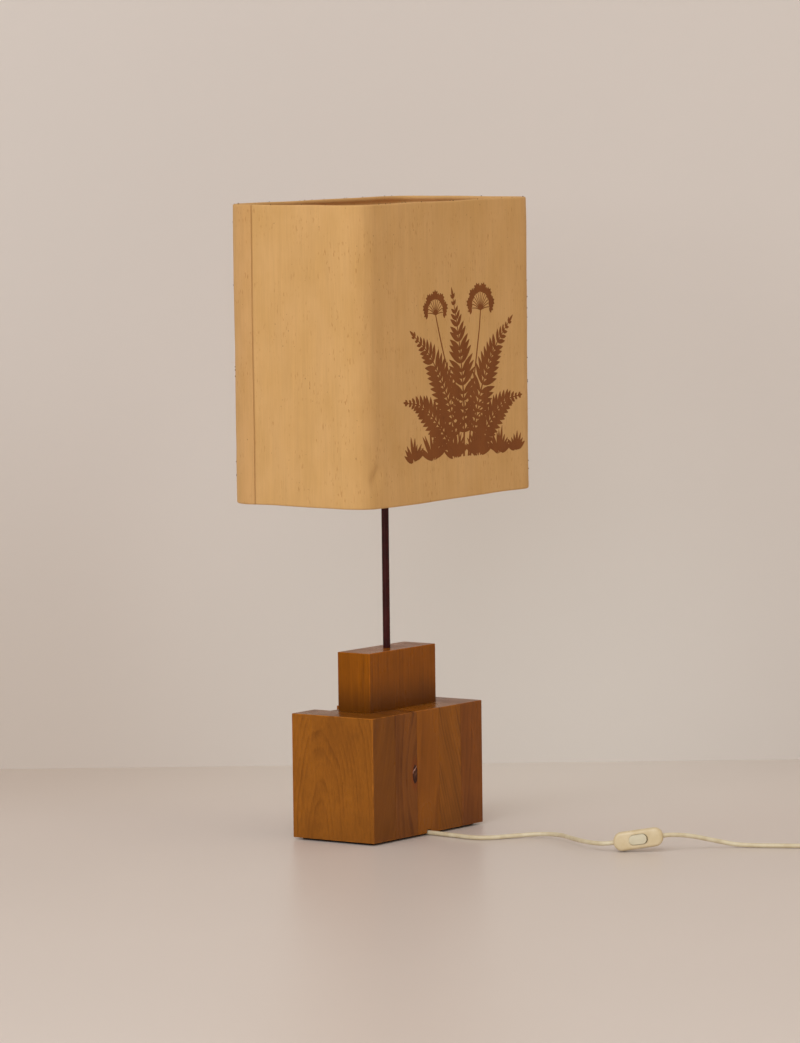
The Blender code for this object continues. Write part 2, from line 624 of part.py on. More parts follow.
def make_shade():
    """The fabric cover rolled over two wires, the fitter ring and the four arms."""
    cover = make_cover()
    low = SHADE_BOTTOM + WIRE_INSET
    for title, height in (("shade_bottom_wire", low), ("shade_top_wire", SHADE_TOP - WIRE_INSET)):
        tube(title, shade_loop(WIRE_INSET, height), WIRE_RADIUS, WHITE_WIRE, 1, closed=True)
    seat = FLANGE_TOP + GAP
    ring("shade_fitter_ring", FITTER_BORE, FITTER_RADIUS, seat, seat + FITTER_THICKNESS, WHITE_WIRE, 32)

    high = seat + FITTER_THICKNESS / 2
    clear = WIRE_INSET + WIRE_RADIUS + GAP
    inner = FITTER_RADIUS + GAP
    for turn, half in enumerate((SHADE_LENGTH / 2, SHADE_WIDTH / 2) * 2):
        side = Matrix.Rotation(turn * math.pi / 2, 3, "Z")
        profile = [(half - clear, low), (half - clear - 0.008, low + 0.0006), (half - clear - 0.014, low + 0.004),
                   (inner + 0.014, high - 0.004), (inner + 0.008, high - 0.0006), (inner, high)]
        points = [side @ Vector((across, 0.0, height)) for across, height in profile]
        tube("shade_arm_%d" % (turn + 1), points, ARM_RADIUS, WHITE_WIRE, 1)

    inside = 1.5 * COVER_THICKNESS
    slot_floor = SHADE_BOTTOM + 1.2 * COVER_THICKNESS
    half_x, half_y, half_slot = SHADE_LENGTH / 2 - inside, SHADE_WIDTH / 2 - inside, HEM_SLOT_WIDTH / 2
    end_slots = box("cut_hem_ends", (-half_x, -half_slot, slot_floor), (half_x, half_slot, low + HEM_HEIGHT))
    side_slots = box("cut_hem_sides", (-half_slot, -half_y, slot_floor), (half_slot, half_y, low + HEM_HEIGHT))
    cut(cover, end_slots, side_slots)


def make_cover():
    """The fabric: one sheet round the frame, folded over the wires and glued back inside."""
    roll = 2 * WIRE_INSET
    bend = WIRE_INSET * math.sin(math.pi / 4)
    hem = [(HEM_INSET, -HEM_HEIGHT), (HEM_INSET, -0.0088), (roll - 0.0012, -0.0056), (roll, -WIRE_INSET),
           (WIRE_INSET + bend, bend - WIRE_INSET), (WIRE_INSET, 0.0), (WIRE_INSET - bend, bend - WIRE_INSET),
           (0.0, -WIRE_INSET)]
    profile = [(inset, SHADE_TOP + rise) for inset, rise in hem]
    profile += [(inset, SHADE_BOTTOM - rise) for inset, rise in reversed(hem)]
    shape = bmesh.new()
    loops = []
    for inset, height in profile:
        verts = [shape.verts.new(point) for point in shade_loop(inset, height)]
        loops.append([shape.edges.new(pair) for pair in zip(verts, verts[1:] + verts[:1])])
    for upper, lower in zip(loops, loops[1:]):
        bmesh.ops.bridge_loops(shape, edges=upper + lower)
    bmesh.ops.recalc_face_normals(shape, faces=shape.faces)
    # The sheet is turned so that its outer band faces outwards
    band = max(shape.faces, key=lambda face: face.calc_area())
    centre = band.calc_center_median()
    if band.normal.x * centre.x + band.normal.y * centre.y < 0:
        bmesh.ops.reverse_faces(shape, faces=shape.faces)
    data = mesh_from(shape, "shade_cover")
    data.shade_smooth()
    data.set_sharp_from_angle(angle=math.radians(50))
    cover = add("shade_cover", data, FABRIC)
    wall = cover.modifiers.new("wall", "SOLIDIFY")
    wall.thickness = COVER_THICKNESS
    wall.offset = -1.0
    return cover


def make_holder():
    """The lamp holder: cap, insert, contacts, sleeve and the ring that clamps the shade."""
    inner = CAP_RADIUS - CAP_WALL
    turned("holder_cap", [
        (CAP_RADIUS, CAP_TOP), (CAP_RADIUS, CAP_TOP - 0.006), (0.0180, 0.4950), (0.0150, 0.4905),
        (CAP_BOSS_RADIUS, 0.4885), (CAP_BOSS_RADIUS, HOLDER_BOTTOM), (STEM_HOLE_RADIUS, HOLDER_BOTTOM),
        (STEM_HOLE_RADIUS, 0.4900), (0.0145, 0.4921), (0.0165, 0.4957), (inner, CAP_TOP - 0.006),
        (inner, CAP_TOP)], BAKELITE, 32, True)
    turned("holder_sleeve", [
        (SLEEVE_RADIUS, SLEEVE_TOP), (SLEEVE_RADIUS, FLANGE_TOP), (FLANGE_RADIUS, FLANGE_TOP),
        (FLANGE_RADIUS, FLANGE_BOTTOM), (SLEEVE_RADIUS, FLANGE_BOTTOM), (SLEEVE_RADIUS, CAP_TOP + GAP),
        (SLEEVE_BORE, CAP_TOP + GAP), (SLEEVE_BORE, SLEEVE_TOP)], BAKELITE, 32, True)
    ring_top = CLAMP_RING_BOTTOM + CLAMP_RING_HEIGHT
    clamp = turned("shade_clamp_ring", [
        (CLAMP_RING_RADIUS - 0.001, ring_top), (CLAMP_RING_RADIUS, ring_top - 0.001),
        (CLAMP_RING_RADIUS, CLAMP_RING_BOTTOM), (FITTER_BORE, CLAMP_RING_BOTTOM), (FITTER_BORE, ring_top)],
        BAKELITE, 48, True)
    cut(clamp, make_grips())

    seat = THREAD_SHELL_RADIUS + GAP
    insert = turned("holder_insert", [
        (0.0, INSERT_FLOOR), (seat, INSERT_FLOOR), (seat, INSERT_TOP), (INSERT_RADIUS, INSERT_TOP),
        (INSERT_RADIUS, INSERT_BOTTOM + 0.006), (INSERT_FOOT_RADIUS, INSERT_BOTTOM + 0.005),
        (INSERT_FOOT_RADIUS, INSERT_BOTTOM), (0.0, INSERT_BOTTOM)], CERAMIC, 32)
    holes = rod("cut_terminal_holes", TERMINAL_SCREW_RADIUS + GAP, INSERT_BOTTOM - PAST, INSERT_BOTTOM + 0.0065, 10)
    holes.location.x = -TERMINAL_X
    row(holes, 2, (2 * TERMINAL_X, 0.0, 0.0))
    cut(insert, holes)
    make_thread_shell()
    metal = CONTACT_METAL
    flat_shape("holder_centre_contact", [
        (-0.0100, 0.0), (-0.0050, 0.0), (-0.0005, 0.0022), (0.0025, 0.0022), (0.0038, 0.0014),
        (0.0041, 0.0014 + metal), (0.0027, 0.0022 + metal), (-0.0008, 0.0022 + metal), (-0.0052, metal),
        (-0.0100, metal)], CONTACT_WIDTH, Matrix.Translation((0.0, 0.0, INSERT_FLOOR + GAP)) @ UPRIGHT, BRASS)
    screw = turned("holder_terminal_screw", [
        (0.0, 0.006), (TERMINAL_SCREW_RADIUS, 0.006), (TERMINAL_SCREW_RADIUS, -GAP), (TERMINAL_HEAD_RADIUS, -GAP),
        (TERMINAL_HEAD_RADIUS, -GAP - TERMINAL_HEAD_HEIGHT), (0.0, -GAP - TERMINAL_HEAD_HEIGHT)], BRASS, 12)
    copies(screw, [(side * TERMINAL_X, 0.0, INSERT_BOTTOM) for side in (-1, 1)])
    end = INSERT_BOTTOM - 2 * GAP - TERMINAL_HEAD_HEIGHT
    for number, side in enumerate((-1, 1), 1):
        run = [(side * 0.0013, 0.0, CORD_TOP + GAP), (side * 0.0016, 0.0, CORD_TOP + 0.0025),
               (side * 0.0045, 0.0, CORD_TOP + 0.0054), (side * 0.0080, 0.0, CORD_TOP + 0.0075),
               (side * TERMINAL_X, 0.0, end)]
        tube("holder_wire_%d" % number, smooth_route(run, 0.003), CORE_RADIUS, CREAM_PLASTIC, 1)


def make_grips():
    """Cutters for the finger grips round the clamp ring."""
    shape = bmesh.new()
    for number in range(CLAMP_RING_GRIPS):
        angle = 2 * math.pi * (number + 0.5) / CLAMP_RING_GRIPS
        grip = bmesh.ops.create_cone(shape, cap_ends=True, segments=6, radius1=GRIP_RADIUS,
                                     radius2=GRIP_RADIUS, depth=CLAMP_RING_HEIGHT + 2 * PAST)
        reach = CLAMP_RING_RADIUS + GRIP_RADIUS / 3
        place = (reach * math.cos(angle), reach * math.sin(angle), CLAMP_RING_BOTTOM + CLAMP_RING_HEIGHT / 2)
        bmesh.ops.translate(shape, vec=place, verts=grip["verts"])
    return add("cut_ring_grips", mesh_from(shape, "cut_ring_grips"))


def make_thread_shell():
    """The thin shell that the bulb screws into, with the rounded waves of its thread."""
    wave = (THREAD_SHELL_RADIUS - THREAD_SHELL_BORE) / 2
    waves = 8
    outer = []
    for step in range(waves + 1):
        share = step / waves
        outer.append((THREAD_SHELL_RADIUS - wave * (step % 2),
                      THREAD_SHELL_TOP + (THREAD_SHELL_BOTTOM - THREAD_SHELL_TOP) * share))
    inner = [(radius - wave, height) for radius, height in reversed(outer)]
    turned("holder_thread_shell", outer + inner, BRASS, 20, True)


def make_bulb():
    """The bulb: a glass envelope open at its neck, its screw cap and its end contact."""
    outer, inner = [], []
    steps = 7
    for step in range(steps + 1):
        angle = math.pi / 2 * (1 - step / steps)
        for points, radius in ((outer, BULB_RADIUS), (inner, BULB_RADIUS - BULB_WALL)):
            points.append((radius * math.cos(angle) if step else 0.0, BULB_WIDEST + radius * math.sin(angle)))
    outer += BULB_NECK
    inner += [(radius - BULB_WALL, height) for radius, height in BULB_NECK]
    turned("bulb_glass", outer + inner[::-1], OPAL_GLASS, 24)
    foot = BULB_CAP_BOTTOM
    turned("bulb_cap", [
        (0.0, BULB_CAP_TOP), (BULB_CAP_RIM, BULB_CAP_TOP), (BULB_CAP_RIM, BULB_CAP_TOP - 0.0010),
        (BULB_CAP_RADIUS, BULB_CAP_TOP - 0.0024), (BULB_CAP_RADIUS, foot + 0.0040), (0.0095, foot), (0.0060, foot),
        (0.0060, foot + 0.0012), (0.0, foot + 0.0012)], STEEL, 24)
    turned("bulb_contact", [
        (0.0, foot + 0.0009), (0.0057, foot + 0.0009), (0.0057, foot - 0.0004), (0.0035, foot - 0.0010),
        (0.0, foot - 0.0012)], BRASS, 16)


def make_switch_frame():
    """The empty that carries the switch: X along the cord, Z out of the rocker's face."""
    level = Vector((math.cos(SWITCH_HEADING), math.sin(SWITCH_HEADING), 0.0))
    along = level * math.cos(SWITCH_RISE) + Vector((0.0, 0.0, math.sin(SWITCH_RISE)))
    outward = Vector((level.y, -level.x, 0.0))
    face = outward * math.cos(SWITCH_LEAN_BACK) + outward.cross(along) * math.sin(SWITCH_LEAN_BACK)
    return add_frame("switch_frame", (along, face.cross(along), face), SWITCH_CENTRE)


def make_switch(frame):
    """Two shells with the rocker, its pivot, the contacts and the housing screws between them."""
    depth, wall = SWITCH_HALF_DEPTH, SWITCH_WALL
    hollow = add("cut_switch_hollow", mesh_from(rounded_shape(
        SWITCH_LENGTH - 2 * wall, SWITCH_WIDTH - 2 * wall, wall - depth, depth - wall, SWITCH_CORNER - wall),
        "cut_switch_hollow"), parent=frame)
    bosses = rod("keep_switch_bosses", SWITCH_BOSS_RADIUS, -depth, depth, 12, parent=frame)
    passage = rod("cut_switch_passage", CORD_RADIUS + GAP, -SWITCH_LENGTH, SWITCH_LENGTH, 12, parent=frame)
    passage.rotation_euler.y = math.pi / 2
    window = add("cut_switch_window", mesh_from(rounded_shape(
        WINDOW_LENGTH, WINDOW_WIDTH, depth - 2 * wall, depth + PAST, WINDOW_CORNER), "cut_switch_window"),
        parent=frame)
    head_seat = wall + 0.0004 - depth
    shank_hole, head_hole = SWITCH_SCREW_RADIUS + GAP, SWITCH_SCREW_HEAD + GAP
    screw_holes = turned("cut_switch_screws", [
        (0.0, depth - 0.003), (shank_hole, depth - 0.003), (shank_hole, head_seat), (head_hole, head_seat),
        (head_hole, -depth - PAST), (0.0, -depth - PAST)], steps=12, parent=frame)
    first, second = SWITCH_SCREW_PLACES
    for cutter in (bosses, screw_holes):
        cutter.location = first
        row(cutter, 2, Vector(second) - Vector(first))
    cut(hollow, bosses)

    halves = (("switch_lower_shell", -depth, -GAP / 2, "-Z"), ("switch_upper_shell", GAP / 2, depth, "+Z"))
    for title, bottom, top, rim in halves:
        shape = rounded_shape(SWITCH_LENGTH, SWITCH_WIDTH, bottom, top, SWITCH_CORNER, SWITCH_EDGE, rim)
        shell = add(title, mesh_from(shape, title), CREAM_PLASTIC, frame)
        cut(shell, hollow, passage, screw_holes)
        if rim == "+Z":
            cut(shell, window)
    top, head_top = depth - 0.0035, head_seat - GAP
    screw = turned("switch_screw", [
        (0.0, top), (SWITCH_SCREW_RADIUS, top), (SWITCH_SCREW_RADIUS, head_top), (SWITCH_SCREW_HEAD, head_top),
        (SWITCH_SCREW_HEAD, head_top - 0.0015), (0.0, head_top - 0.0015)], STEEL, 10, parent=frame)
    copies(screw, SWITCH_SCREW_PLACES)
    make_rocker(frame)

    metal = CONTACT_METAL
    outline = [(0.0, 0.0), (CONTACT_FOOT, 0.0), (CONTACT_FOOT, CONTACT_HEIGHT),
               (CONTACT_FOOT - metal, CONTACT_HEIGHT), (CONTACT_FOOT - metal, metal), (0.0, metal)]
    for number, turn in enumerate((0.0, math.pi), 1):
        place = Matrix.Rotation(turn, 4, "Z") @ Matrix.Translation((-CONTACT_X, 0.0, wall + GAP - depth)) @ UPRIGHT
        flat_shape("switch_contact_%d" % number, outline, CONTACT_WIDTH, place, BRASS, frame)


def make_rocker(frame):
    """The rocker and the bridge that it carries, on the pivot pin."""
    axis = bpy.data.objects.new("rocker_axis", None)
    PARTS.objects.link(axis)
    axis.parent = frame
    axis.location = (0.0, 0.0, ROCKER_PIVOT)
    shape = rounded_shape(ROCKER_LENGTH, ROCKER_WIDTH, ROCKER_BOTTOM - ROCKER_PIVOT, ROCKER_END - ROCKER_PIVOT,
                          ROCKER_CORNER)
    bmesh.ops.bisect_plane(shape, geom=shape.verts[:] + shape.edges[:] + shape.faces[:],
                           plane_co=(0.0, 0.0, 0.0), plane_no=(1.0, 0.0, 0.0))
    slope = (ROCKER_END - ROCKER_MIDDLE) / (ROCKER_LENGTH / 2)
    for vert in shape.verts:
        if vert.co.z > 0:
            vert.co.z = ROCKER_MIDDLE - ROCKER_PIVOT + abs(vert.co.x) * slope
    rocker = add("switch_rocker", mesh_from(shape, "switch_rocker"), ROCKER_PLASTIC, axis)
    bridge_top = ROCKER_BOTTOM - ROCKER_PIVOT - GAP
    bridge = box("switch_bridge", (-BRIDGE_HALF_LENGTH, -CONTACT_WIDTH / 2, bridge_top - CONTACT_METAL),
                 (BRIDGE_HALF_LENGTH, CONTACT_WIDTH / 2, bridge_top), BRASS, parent=axis)
    for moving in (rocker, bridge):
        moving.rotation_euler.y = -ROCKER_TILT
    pin = rod("switch_pivot", PIVOT_RADIUS, -PIVOT_HALF_LENGTH, PIVOT_HALF_LENGTH, 12, STEEL, axis)
    bore = rod("cut_rocker_bore", PIVOT_RADIUS + GAP, -ROCKER_WIDTH, ROCKER_WIDTH, 12, parent=axis)
    for across in (pin, bore):
        across.rotation_euler.x = math.pi / 2
    cut(rocker, bore)


def coil_point(turns):
    """The coil's centre line after a number of turns."""
    inward = min(turns, COIL_TOTAL_TURNS - turns)
    radius = COIL_RADIUS - COIL_PITCH * inward
    share = min(max((turns - COIL_LAYER_TURNS) / COIL_CLIMB_TURNS, 0.0), 1.0)
    height = COIL_LOW + (COIL_HIGH - COIL_LOW) * share * share * (3 - 2 * share)
    angle = COIL_START_ANGLE + 2 * math.pi * turns
    return Vector((COIL_CENTRE[0] + radius * math.cos(angle), COIL_CENTRE[1] + radius * math.sin(angle), height))


def coil_heading(turns):
    """Level direction square to the coil's radius, the way the cord runs."""
    angle = COIL_START_ANGLE + 2 * math.pi * turns
    return Vector((-math.sin(angle), math.cos(angle), 0.0))


def make_cords(frame):
    """The cord from the lamp holder to the plug, in its stretches. Returns where the plug starts."""
    entry = SWITCH_LENGTH / 2 - SWITCH_ENTRY_DEPTH
    before, left, right, after = [frame.matrix_world @ Vector((x, 0.0, 0.0)) for x in (
        -entry - SWITCH_STRAIGHT, -entry, entry, entry + SWITCH_STRAIGHT)]
    start, end = coil_point(0.0), coil_point(COIL_TOTAL_TURNS)
    start_way, end_way = coil_heading(0.0), coil_heading(COIL_TOTAL_TURNS)
    run = 2 * CORD_RADIUS
    tip = end + end_way * (run + PLUG_RUN)
    tip.z = PLUG_AXIS_HEIGHT

    inside = [ROUTE_INSIDE[0], *smooth_route(ROUTE_INSIDE[1:], CORD_SPACING / 2), (0.0, 0.0, CORD_TOP)]
    lead = [*smooth_route([*ROUTE_LEAD, before], CORD_SPACING, after=left), left]
    near_coil, at_coil = start - start_way * (2 * run), start - start_way * (run + GAP)
    tail = [right, *smooth_route([after, *ROUTE_TAIL, near_coil], CORD_SPACING, right, at_coil), at_coil]
    steps = round(COIL_TOTAL_TURNS * COIL_POINTS_PER_TURN)
    coil = [coil_point(COIL_TOTAL_TURNS * k / steps) for k in range(steps + 1)]
    coil = [start - start_way * run, *coil, end + end_way * run]
    out_of_coil = [end + end_way * (run + GAP), end + end_way * (2 * run)]
    last = smooth_route([*out_of_coil, tip - end_way * run, tip - end_way * GAP], CORD_SPACING / 2)
    for title, points, resolution in (("cord_inside", inside, 2), ("cord_lead", lead, 2), ("cord_tail", tail, 2),
                                      ("cord_coil", coil, 1), ("cord_end", last, 2)):
        tube(title, points, CORD_RADIUS, CREAM_CORD, resolution)
    report_cord([lead, tail, coil, last])
    return tip, end_way


def report_cord(stretches):
    """Prints the free cord's length and the least gap of the coil to itself."""
    lengths = [run_length(points) for points in stretches]
    coil = stretches[2]
    near = COIL_POINTS_PER_TURN // 2
    least = min(gap_to_run(point, coil[j], coil[j + 1]) for k, point in enumerate(coil)
                for j in range(k + near, len(coil) - 1))
    print("lengths of the free cord in mm:", [round(length * 1000) for length in lengths])
    print("free cord in all, in mm:", round(sum(lengths) * 1000))
    print("least gap in the coil, in mm:", round((least - 2 * CORD_RADIUS) * 1000, 2))


def gap_to_run(point, start, end):
    """Distance of a point from a straight run."""
    run = end - start
    share = min(max((point - start).dot(run) / run.length_squared, 0.0), 1.0)
    return (point - start - run * share).length


def make_plug(tip, heading):
    """The plug, lying flat: a body that narrows to its strain relief, and two pins."""
    frame = add_frame("plug_frame", (heading, Vector((0.0, 0.0, 1.0)).cross(heading), (0.0, 0.0, 1.0)), tip)
    start = RELIEF_LENGTH
    front = start + PLUG_LENGTH
    half, back = PLUG_WIDTH / 2, PLUG_BACK_WIDTH / 2
    outline = [(start, -back), (start + PLUG_SHOULDER, -half), (front, -half), (front, half),
               (start + PLUG_SHOULDER, half), (start, back)]
    body = flat_shape("plug_body", outline, PLUG_HEIGHT, Matrix(), CREAM_PLASTIC, frame)
    rounded = body.modifiers.new("rounded", "BEVEL")
    rounded.width = PLUG_EDGE
    rounded.segments = 2
    relief = turned("join_plug_relief", [
        (0.0, start + RELIEF_OVERLAP), (RELIEF_FRONT_RADIUS, start + RELIEF_OVERLAP),
        (RELIEF_FRONT_RADIUS, start - 0.002), (RELIEF_BACK_RADIUS, 0.0), (0.0, 0.0)], steps=16, parent=frame)
    relief.rotation_euler.y = math.pi / 2
    union = body.modifiers.new("relief", "BOOLEAN")
    union.operation = "UNION"
    union.solver = "EXACT"
    union.object = relief
    pin = turned("plug_pin", [
        (0.0, front + PIN_LENGTH), (PIN_RADIUS * 0.6, front + PIN_LENGTH), (PIN_RADIUS, front + PIN_LENGTH - 0.0012),
        (PIN_RADIUS, front + GAP), (0.0, front + GAP)], BRASS, 14, parent=frame)
    pin.rotation_euler.y = math.pi / 2
    copies(pin, [(0.0, side * PIN_SPACING / 2, 0.0) for side in (-1, 1)])


make_boards()
make_underside()
make_stem()
make_shade()
make_holder()
make_bulb()
switch_frame = make_switch_frame()
make_switch(switch_frame)
plug_tip, plug_heading = make_cords(switch_frame)
make_plug(plug_tip, plug_heading)
bpy.context.view_layer.update()
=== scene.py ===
"""Looks of a wooden table lamp with a printed fabric shade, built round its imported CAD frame.

Lengths are in metres on the frame's own axes: +Z is up, X runs along the lamp's long side, and
the floor is at zero. Every piece has its place in its mesh and rides on a body of the frame.
"""
from __future__ import annotations

import json
import logging
import math
from dataclasses import dataclass, field
from enum import Enum
from random import Random
from typing import Callable, ClassVar, Iterable, Sequence, Union

import bmesh
import bpy
from bmesh.types import BMEdge, BMesh, BMLayerItem, BMVert
from bpy.types import Material, Node, NodeSocket, NodeTree, Object
from mathutils import Matrix, Vector, noise
from mathutils.geometry import interpolate_bezier

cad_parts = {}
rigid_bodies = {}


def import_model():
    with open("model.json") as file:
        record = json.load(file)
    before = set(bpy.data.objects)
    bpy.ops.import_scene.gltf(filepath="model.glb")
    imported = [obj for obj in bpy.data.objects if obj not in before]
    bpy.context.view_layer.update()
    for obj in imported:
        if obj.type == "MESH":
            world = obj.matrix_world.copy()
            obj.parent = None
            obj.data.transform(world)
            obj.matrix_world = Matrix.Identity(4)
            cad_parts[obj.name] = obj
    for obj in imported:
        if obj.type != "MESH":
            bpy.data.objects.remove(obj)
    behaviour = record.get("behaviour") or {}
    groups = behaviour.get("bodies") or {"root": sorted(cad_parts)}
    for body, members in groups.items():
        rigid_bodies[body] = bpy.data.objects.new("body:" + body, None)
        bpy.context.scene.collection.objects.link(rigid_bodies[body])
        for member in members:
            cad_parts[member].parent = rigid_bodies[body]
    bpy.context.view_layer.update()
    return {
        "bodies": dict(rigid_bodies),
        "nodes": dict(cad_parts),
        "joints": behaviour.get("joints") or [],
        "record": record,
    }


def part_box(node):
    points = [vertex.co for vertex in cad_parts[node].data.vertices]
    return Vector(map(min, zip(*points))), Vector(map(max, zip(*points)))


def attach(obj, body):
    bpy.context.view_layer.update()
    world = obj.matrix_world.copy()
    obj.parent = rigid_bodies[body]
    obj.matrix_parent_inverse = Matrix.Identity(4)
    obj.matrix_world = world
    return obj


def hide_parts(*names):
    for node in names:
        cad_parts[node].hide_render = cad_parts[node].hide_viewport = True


LOG = logging.getLogger("table_lamp")
MERGE = 0.000001
WORLD_UP = Vector((0.0, 0.0, 1.0))

Pair = tuple[float, float]
Point = tuple[float, float, float]
Colour = tuple[float, float, float, float]
Outline = Sequence[Pair]
Value = Union[NodeSocket, float, Sequence[float]]

VECTOR_INPUT = ("Vector", (0.0, 0.0, 0.0))


class Body(Enum):
    """Bodies of the frame that a piece can ride on."""

    LAMP = "lamp"
    SHADE = "shade"
    CLAMP_RING = "clamp_ring"
    BULB = "bulb"
    ROCKER = "rocker"


def shown(red: int, green: int, blue: int) -> Colour:
    """The scene colour that is displayed as three 8-bit values."""
    linear = []
    for level in (red, green, blue):
        share = level / 255
        linear.append(share / 12.92 if share <= 0.04045 else ((share + 0.055) / 1.055) ** 2.4)
    return (linear[0], linear[1], linear[2], 1.0)


class Wiring:
    """Adds nodes to a tree and joins them by their sockets."""

    def __init__(self, tree: NodeTree) -> None:
        """Keeps the tree that the nodes go into."""
        self.tree = tree

    def put(self, socket: NodeSocket, value: Value) -> None:
        """Links another socket to a socket, or sets it to a constant."""
        if isinstance(value, NodeSocket):
            self.tree.links.new(value, socket)
        else:
            socket.default_value = value

    def node(self, kind: str, inputs: dict | None = None, **settings: object) -> Node:
        """Adds a node.

        Args:
            kind: Blender's name of the node's type.
            inputs: values or sockets for its inputs, by name or number.
            settings: its other properties.

        Returns:
            The new node.
        """
        made = self.tree.nodes.new(kind)
        for name, setting in settings.items():
            setattr(made, name, setting)
        for key, value in (inputs or {}).items():
            self.put(made.inputs[key], value)
        return made

    def math(self, operation: str, first: Value, second: Value = 0.0, clamp: bool = False) -> NodeSocket:
        """One sum of two values."""
        return self.node("ShaderNodeMath", {0: first, 1: second}, operation=operation,
                         use_clamp=clamp).outputs[0]

    def vector(self, operation: str, first: Value, second: Value = (0.0, 0.0, 0.0)) -> NodeSocket:
        """One sum of two vectors. A length comes out as a value."""
        made = self.node("ShaderNodeVectorMath", {0: first, 1: second}, operation=operation)
        return made.outputs["Value" if operation == "LENGTH" else "Vector"]

    def parts(self, vector: Value) -> tuple[NodeSocket, NodeSocket, NodeSocket]:
        """The three numbers of a vector."""
        made = self.node("ShaderNodeSeparateXYZ", {0: vector})
        return made.outputs[0], made.outputs[1], made.outputs[2]

    def noise(self, place: Value, stretch: Sequence[float], detail: float = 2.0) -> NodeSocket:
        """Noise at a place, with its number of waves in a metre along each axis."""
        scaled = self.vector("MULTIPLY", place, stretch)
        return self.node("ShaderNodeTexNoise", {"Vector": scaled, "Scale": 1.0, "Detail": detail}).outputs[0]

    def span(self, value: Value, low: float, high: float, to_low: float = 0.0,
             to_high: float = 1.0, soft: bool = False) -> NodeSocket:
        """A value carried from one range to another, and kept inside it."""
        style = "SMOOTHSTEP" if soft else "LINEAR"
        return self.node("ShaderNodeMapRange", {0: value, 1: low, 2: high, 3: to_low, 4: to_high},
                         interpolation_type=style).outputs[0]

    def mix(self, share: Value, first: Value, second: Value, blend: str = "MIX") -> NodeSocket:
        """Two colours mixed."""
        return self.node("ShaderNodeMix", {0: share, 6: first, 7: second}, data_type="RGBA",
                         blend_type=blend, clamp_factor=True).outputs[2]


class Pattern:
    """A shader node group that is built once and placed in each material that needs it."""

    title: ClassVar[str]
    inputs: ClassVar[dict[str, tuple[str, Value]]]
    outputs: ClassVar[dict[str, str]]

    @classmethod
    def wire(cls, wiring: Wiring, given: dict[str, NodeSocket]) -> dict[str, NodeSocket]:
        """Builds the inside of the group and returns the socket for each output."""
        raise NotImplementedError

    @classmethod
    def tree(cls) -> NodeTree:
        """The group's tree, made at its first use."""
        found = bpy.data.node_groups.get(cls.title)
        if found:
            return found
        made = bpy.data.node_groups.new(cls.title, "ShaderNodeTree")
        for name, (kind, default) in cls.inputs.items():
            socket = made.interface.new_socket(name, in_out="INPUT", socket_type="NodeSocket" + kind)
            socket.default_value = default
        for name, kind in cls.outputs.items():
            made.interface.new_socket(name, in_out="OUTPUT", socket_type="NodeSocket" + kind)
        wiring = Wiring(made)
        entry = wiring.node("NodeGroupInput")
        leave = wiring.node("NodeGroupOutput")
        given = {name: entry.outputs[name] for name in cls.inputs}
        for name, socket in cls.wire(wiring, given).items():
            made.links.new(socket, leave.inputs[name])
        return made

    @classmethod
    def place(cls, wiring: Wiring, **values: Value) -> dict[str, NodeSocket]:
        """Puts the group in a material.

        Args:
            wiring: the material's wiring.
            values: a value or socket for each input, with _ for a space in its name.

        Returns:
            The group's output sockets by name.
        """
        made = wiring.node("ShaderNodeGroup", node_tree=cls.tree())
        for name, value in values.items():
            wiring.put(made.inputs[name.replace("_", " ")], value)
        return {name: made.outputs[name] for name in cls.outputs}


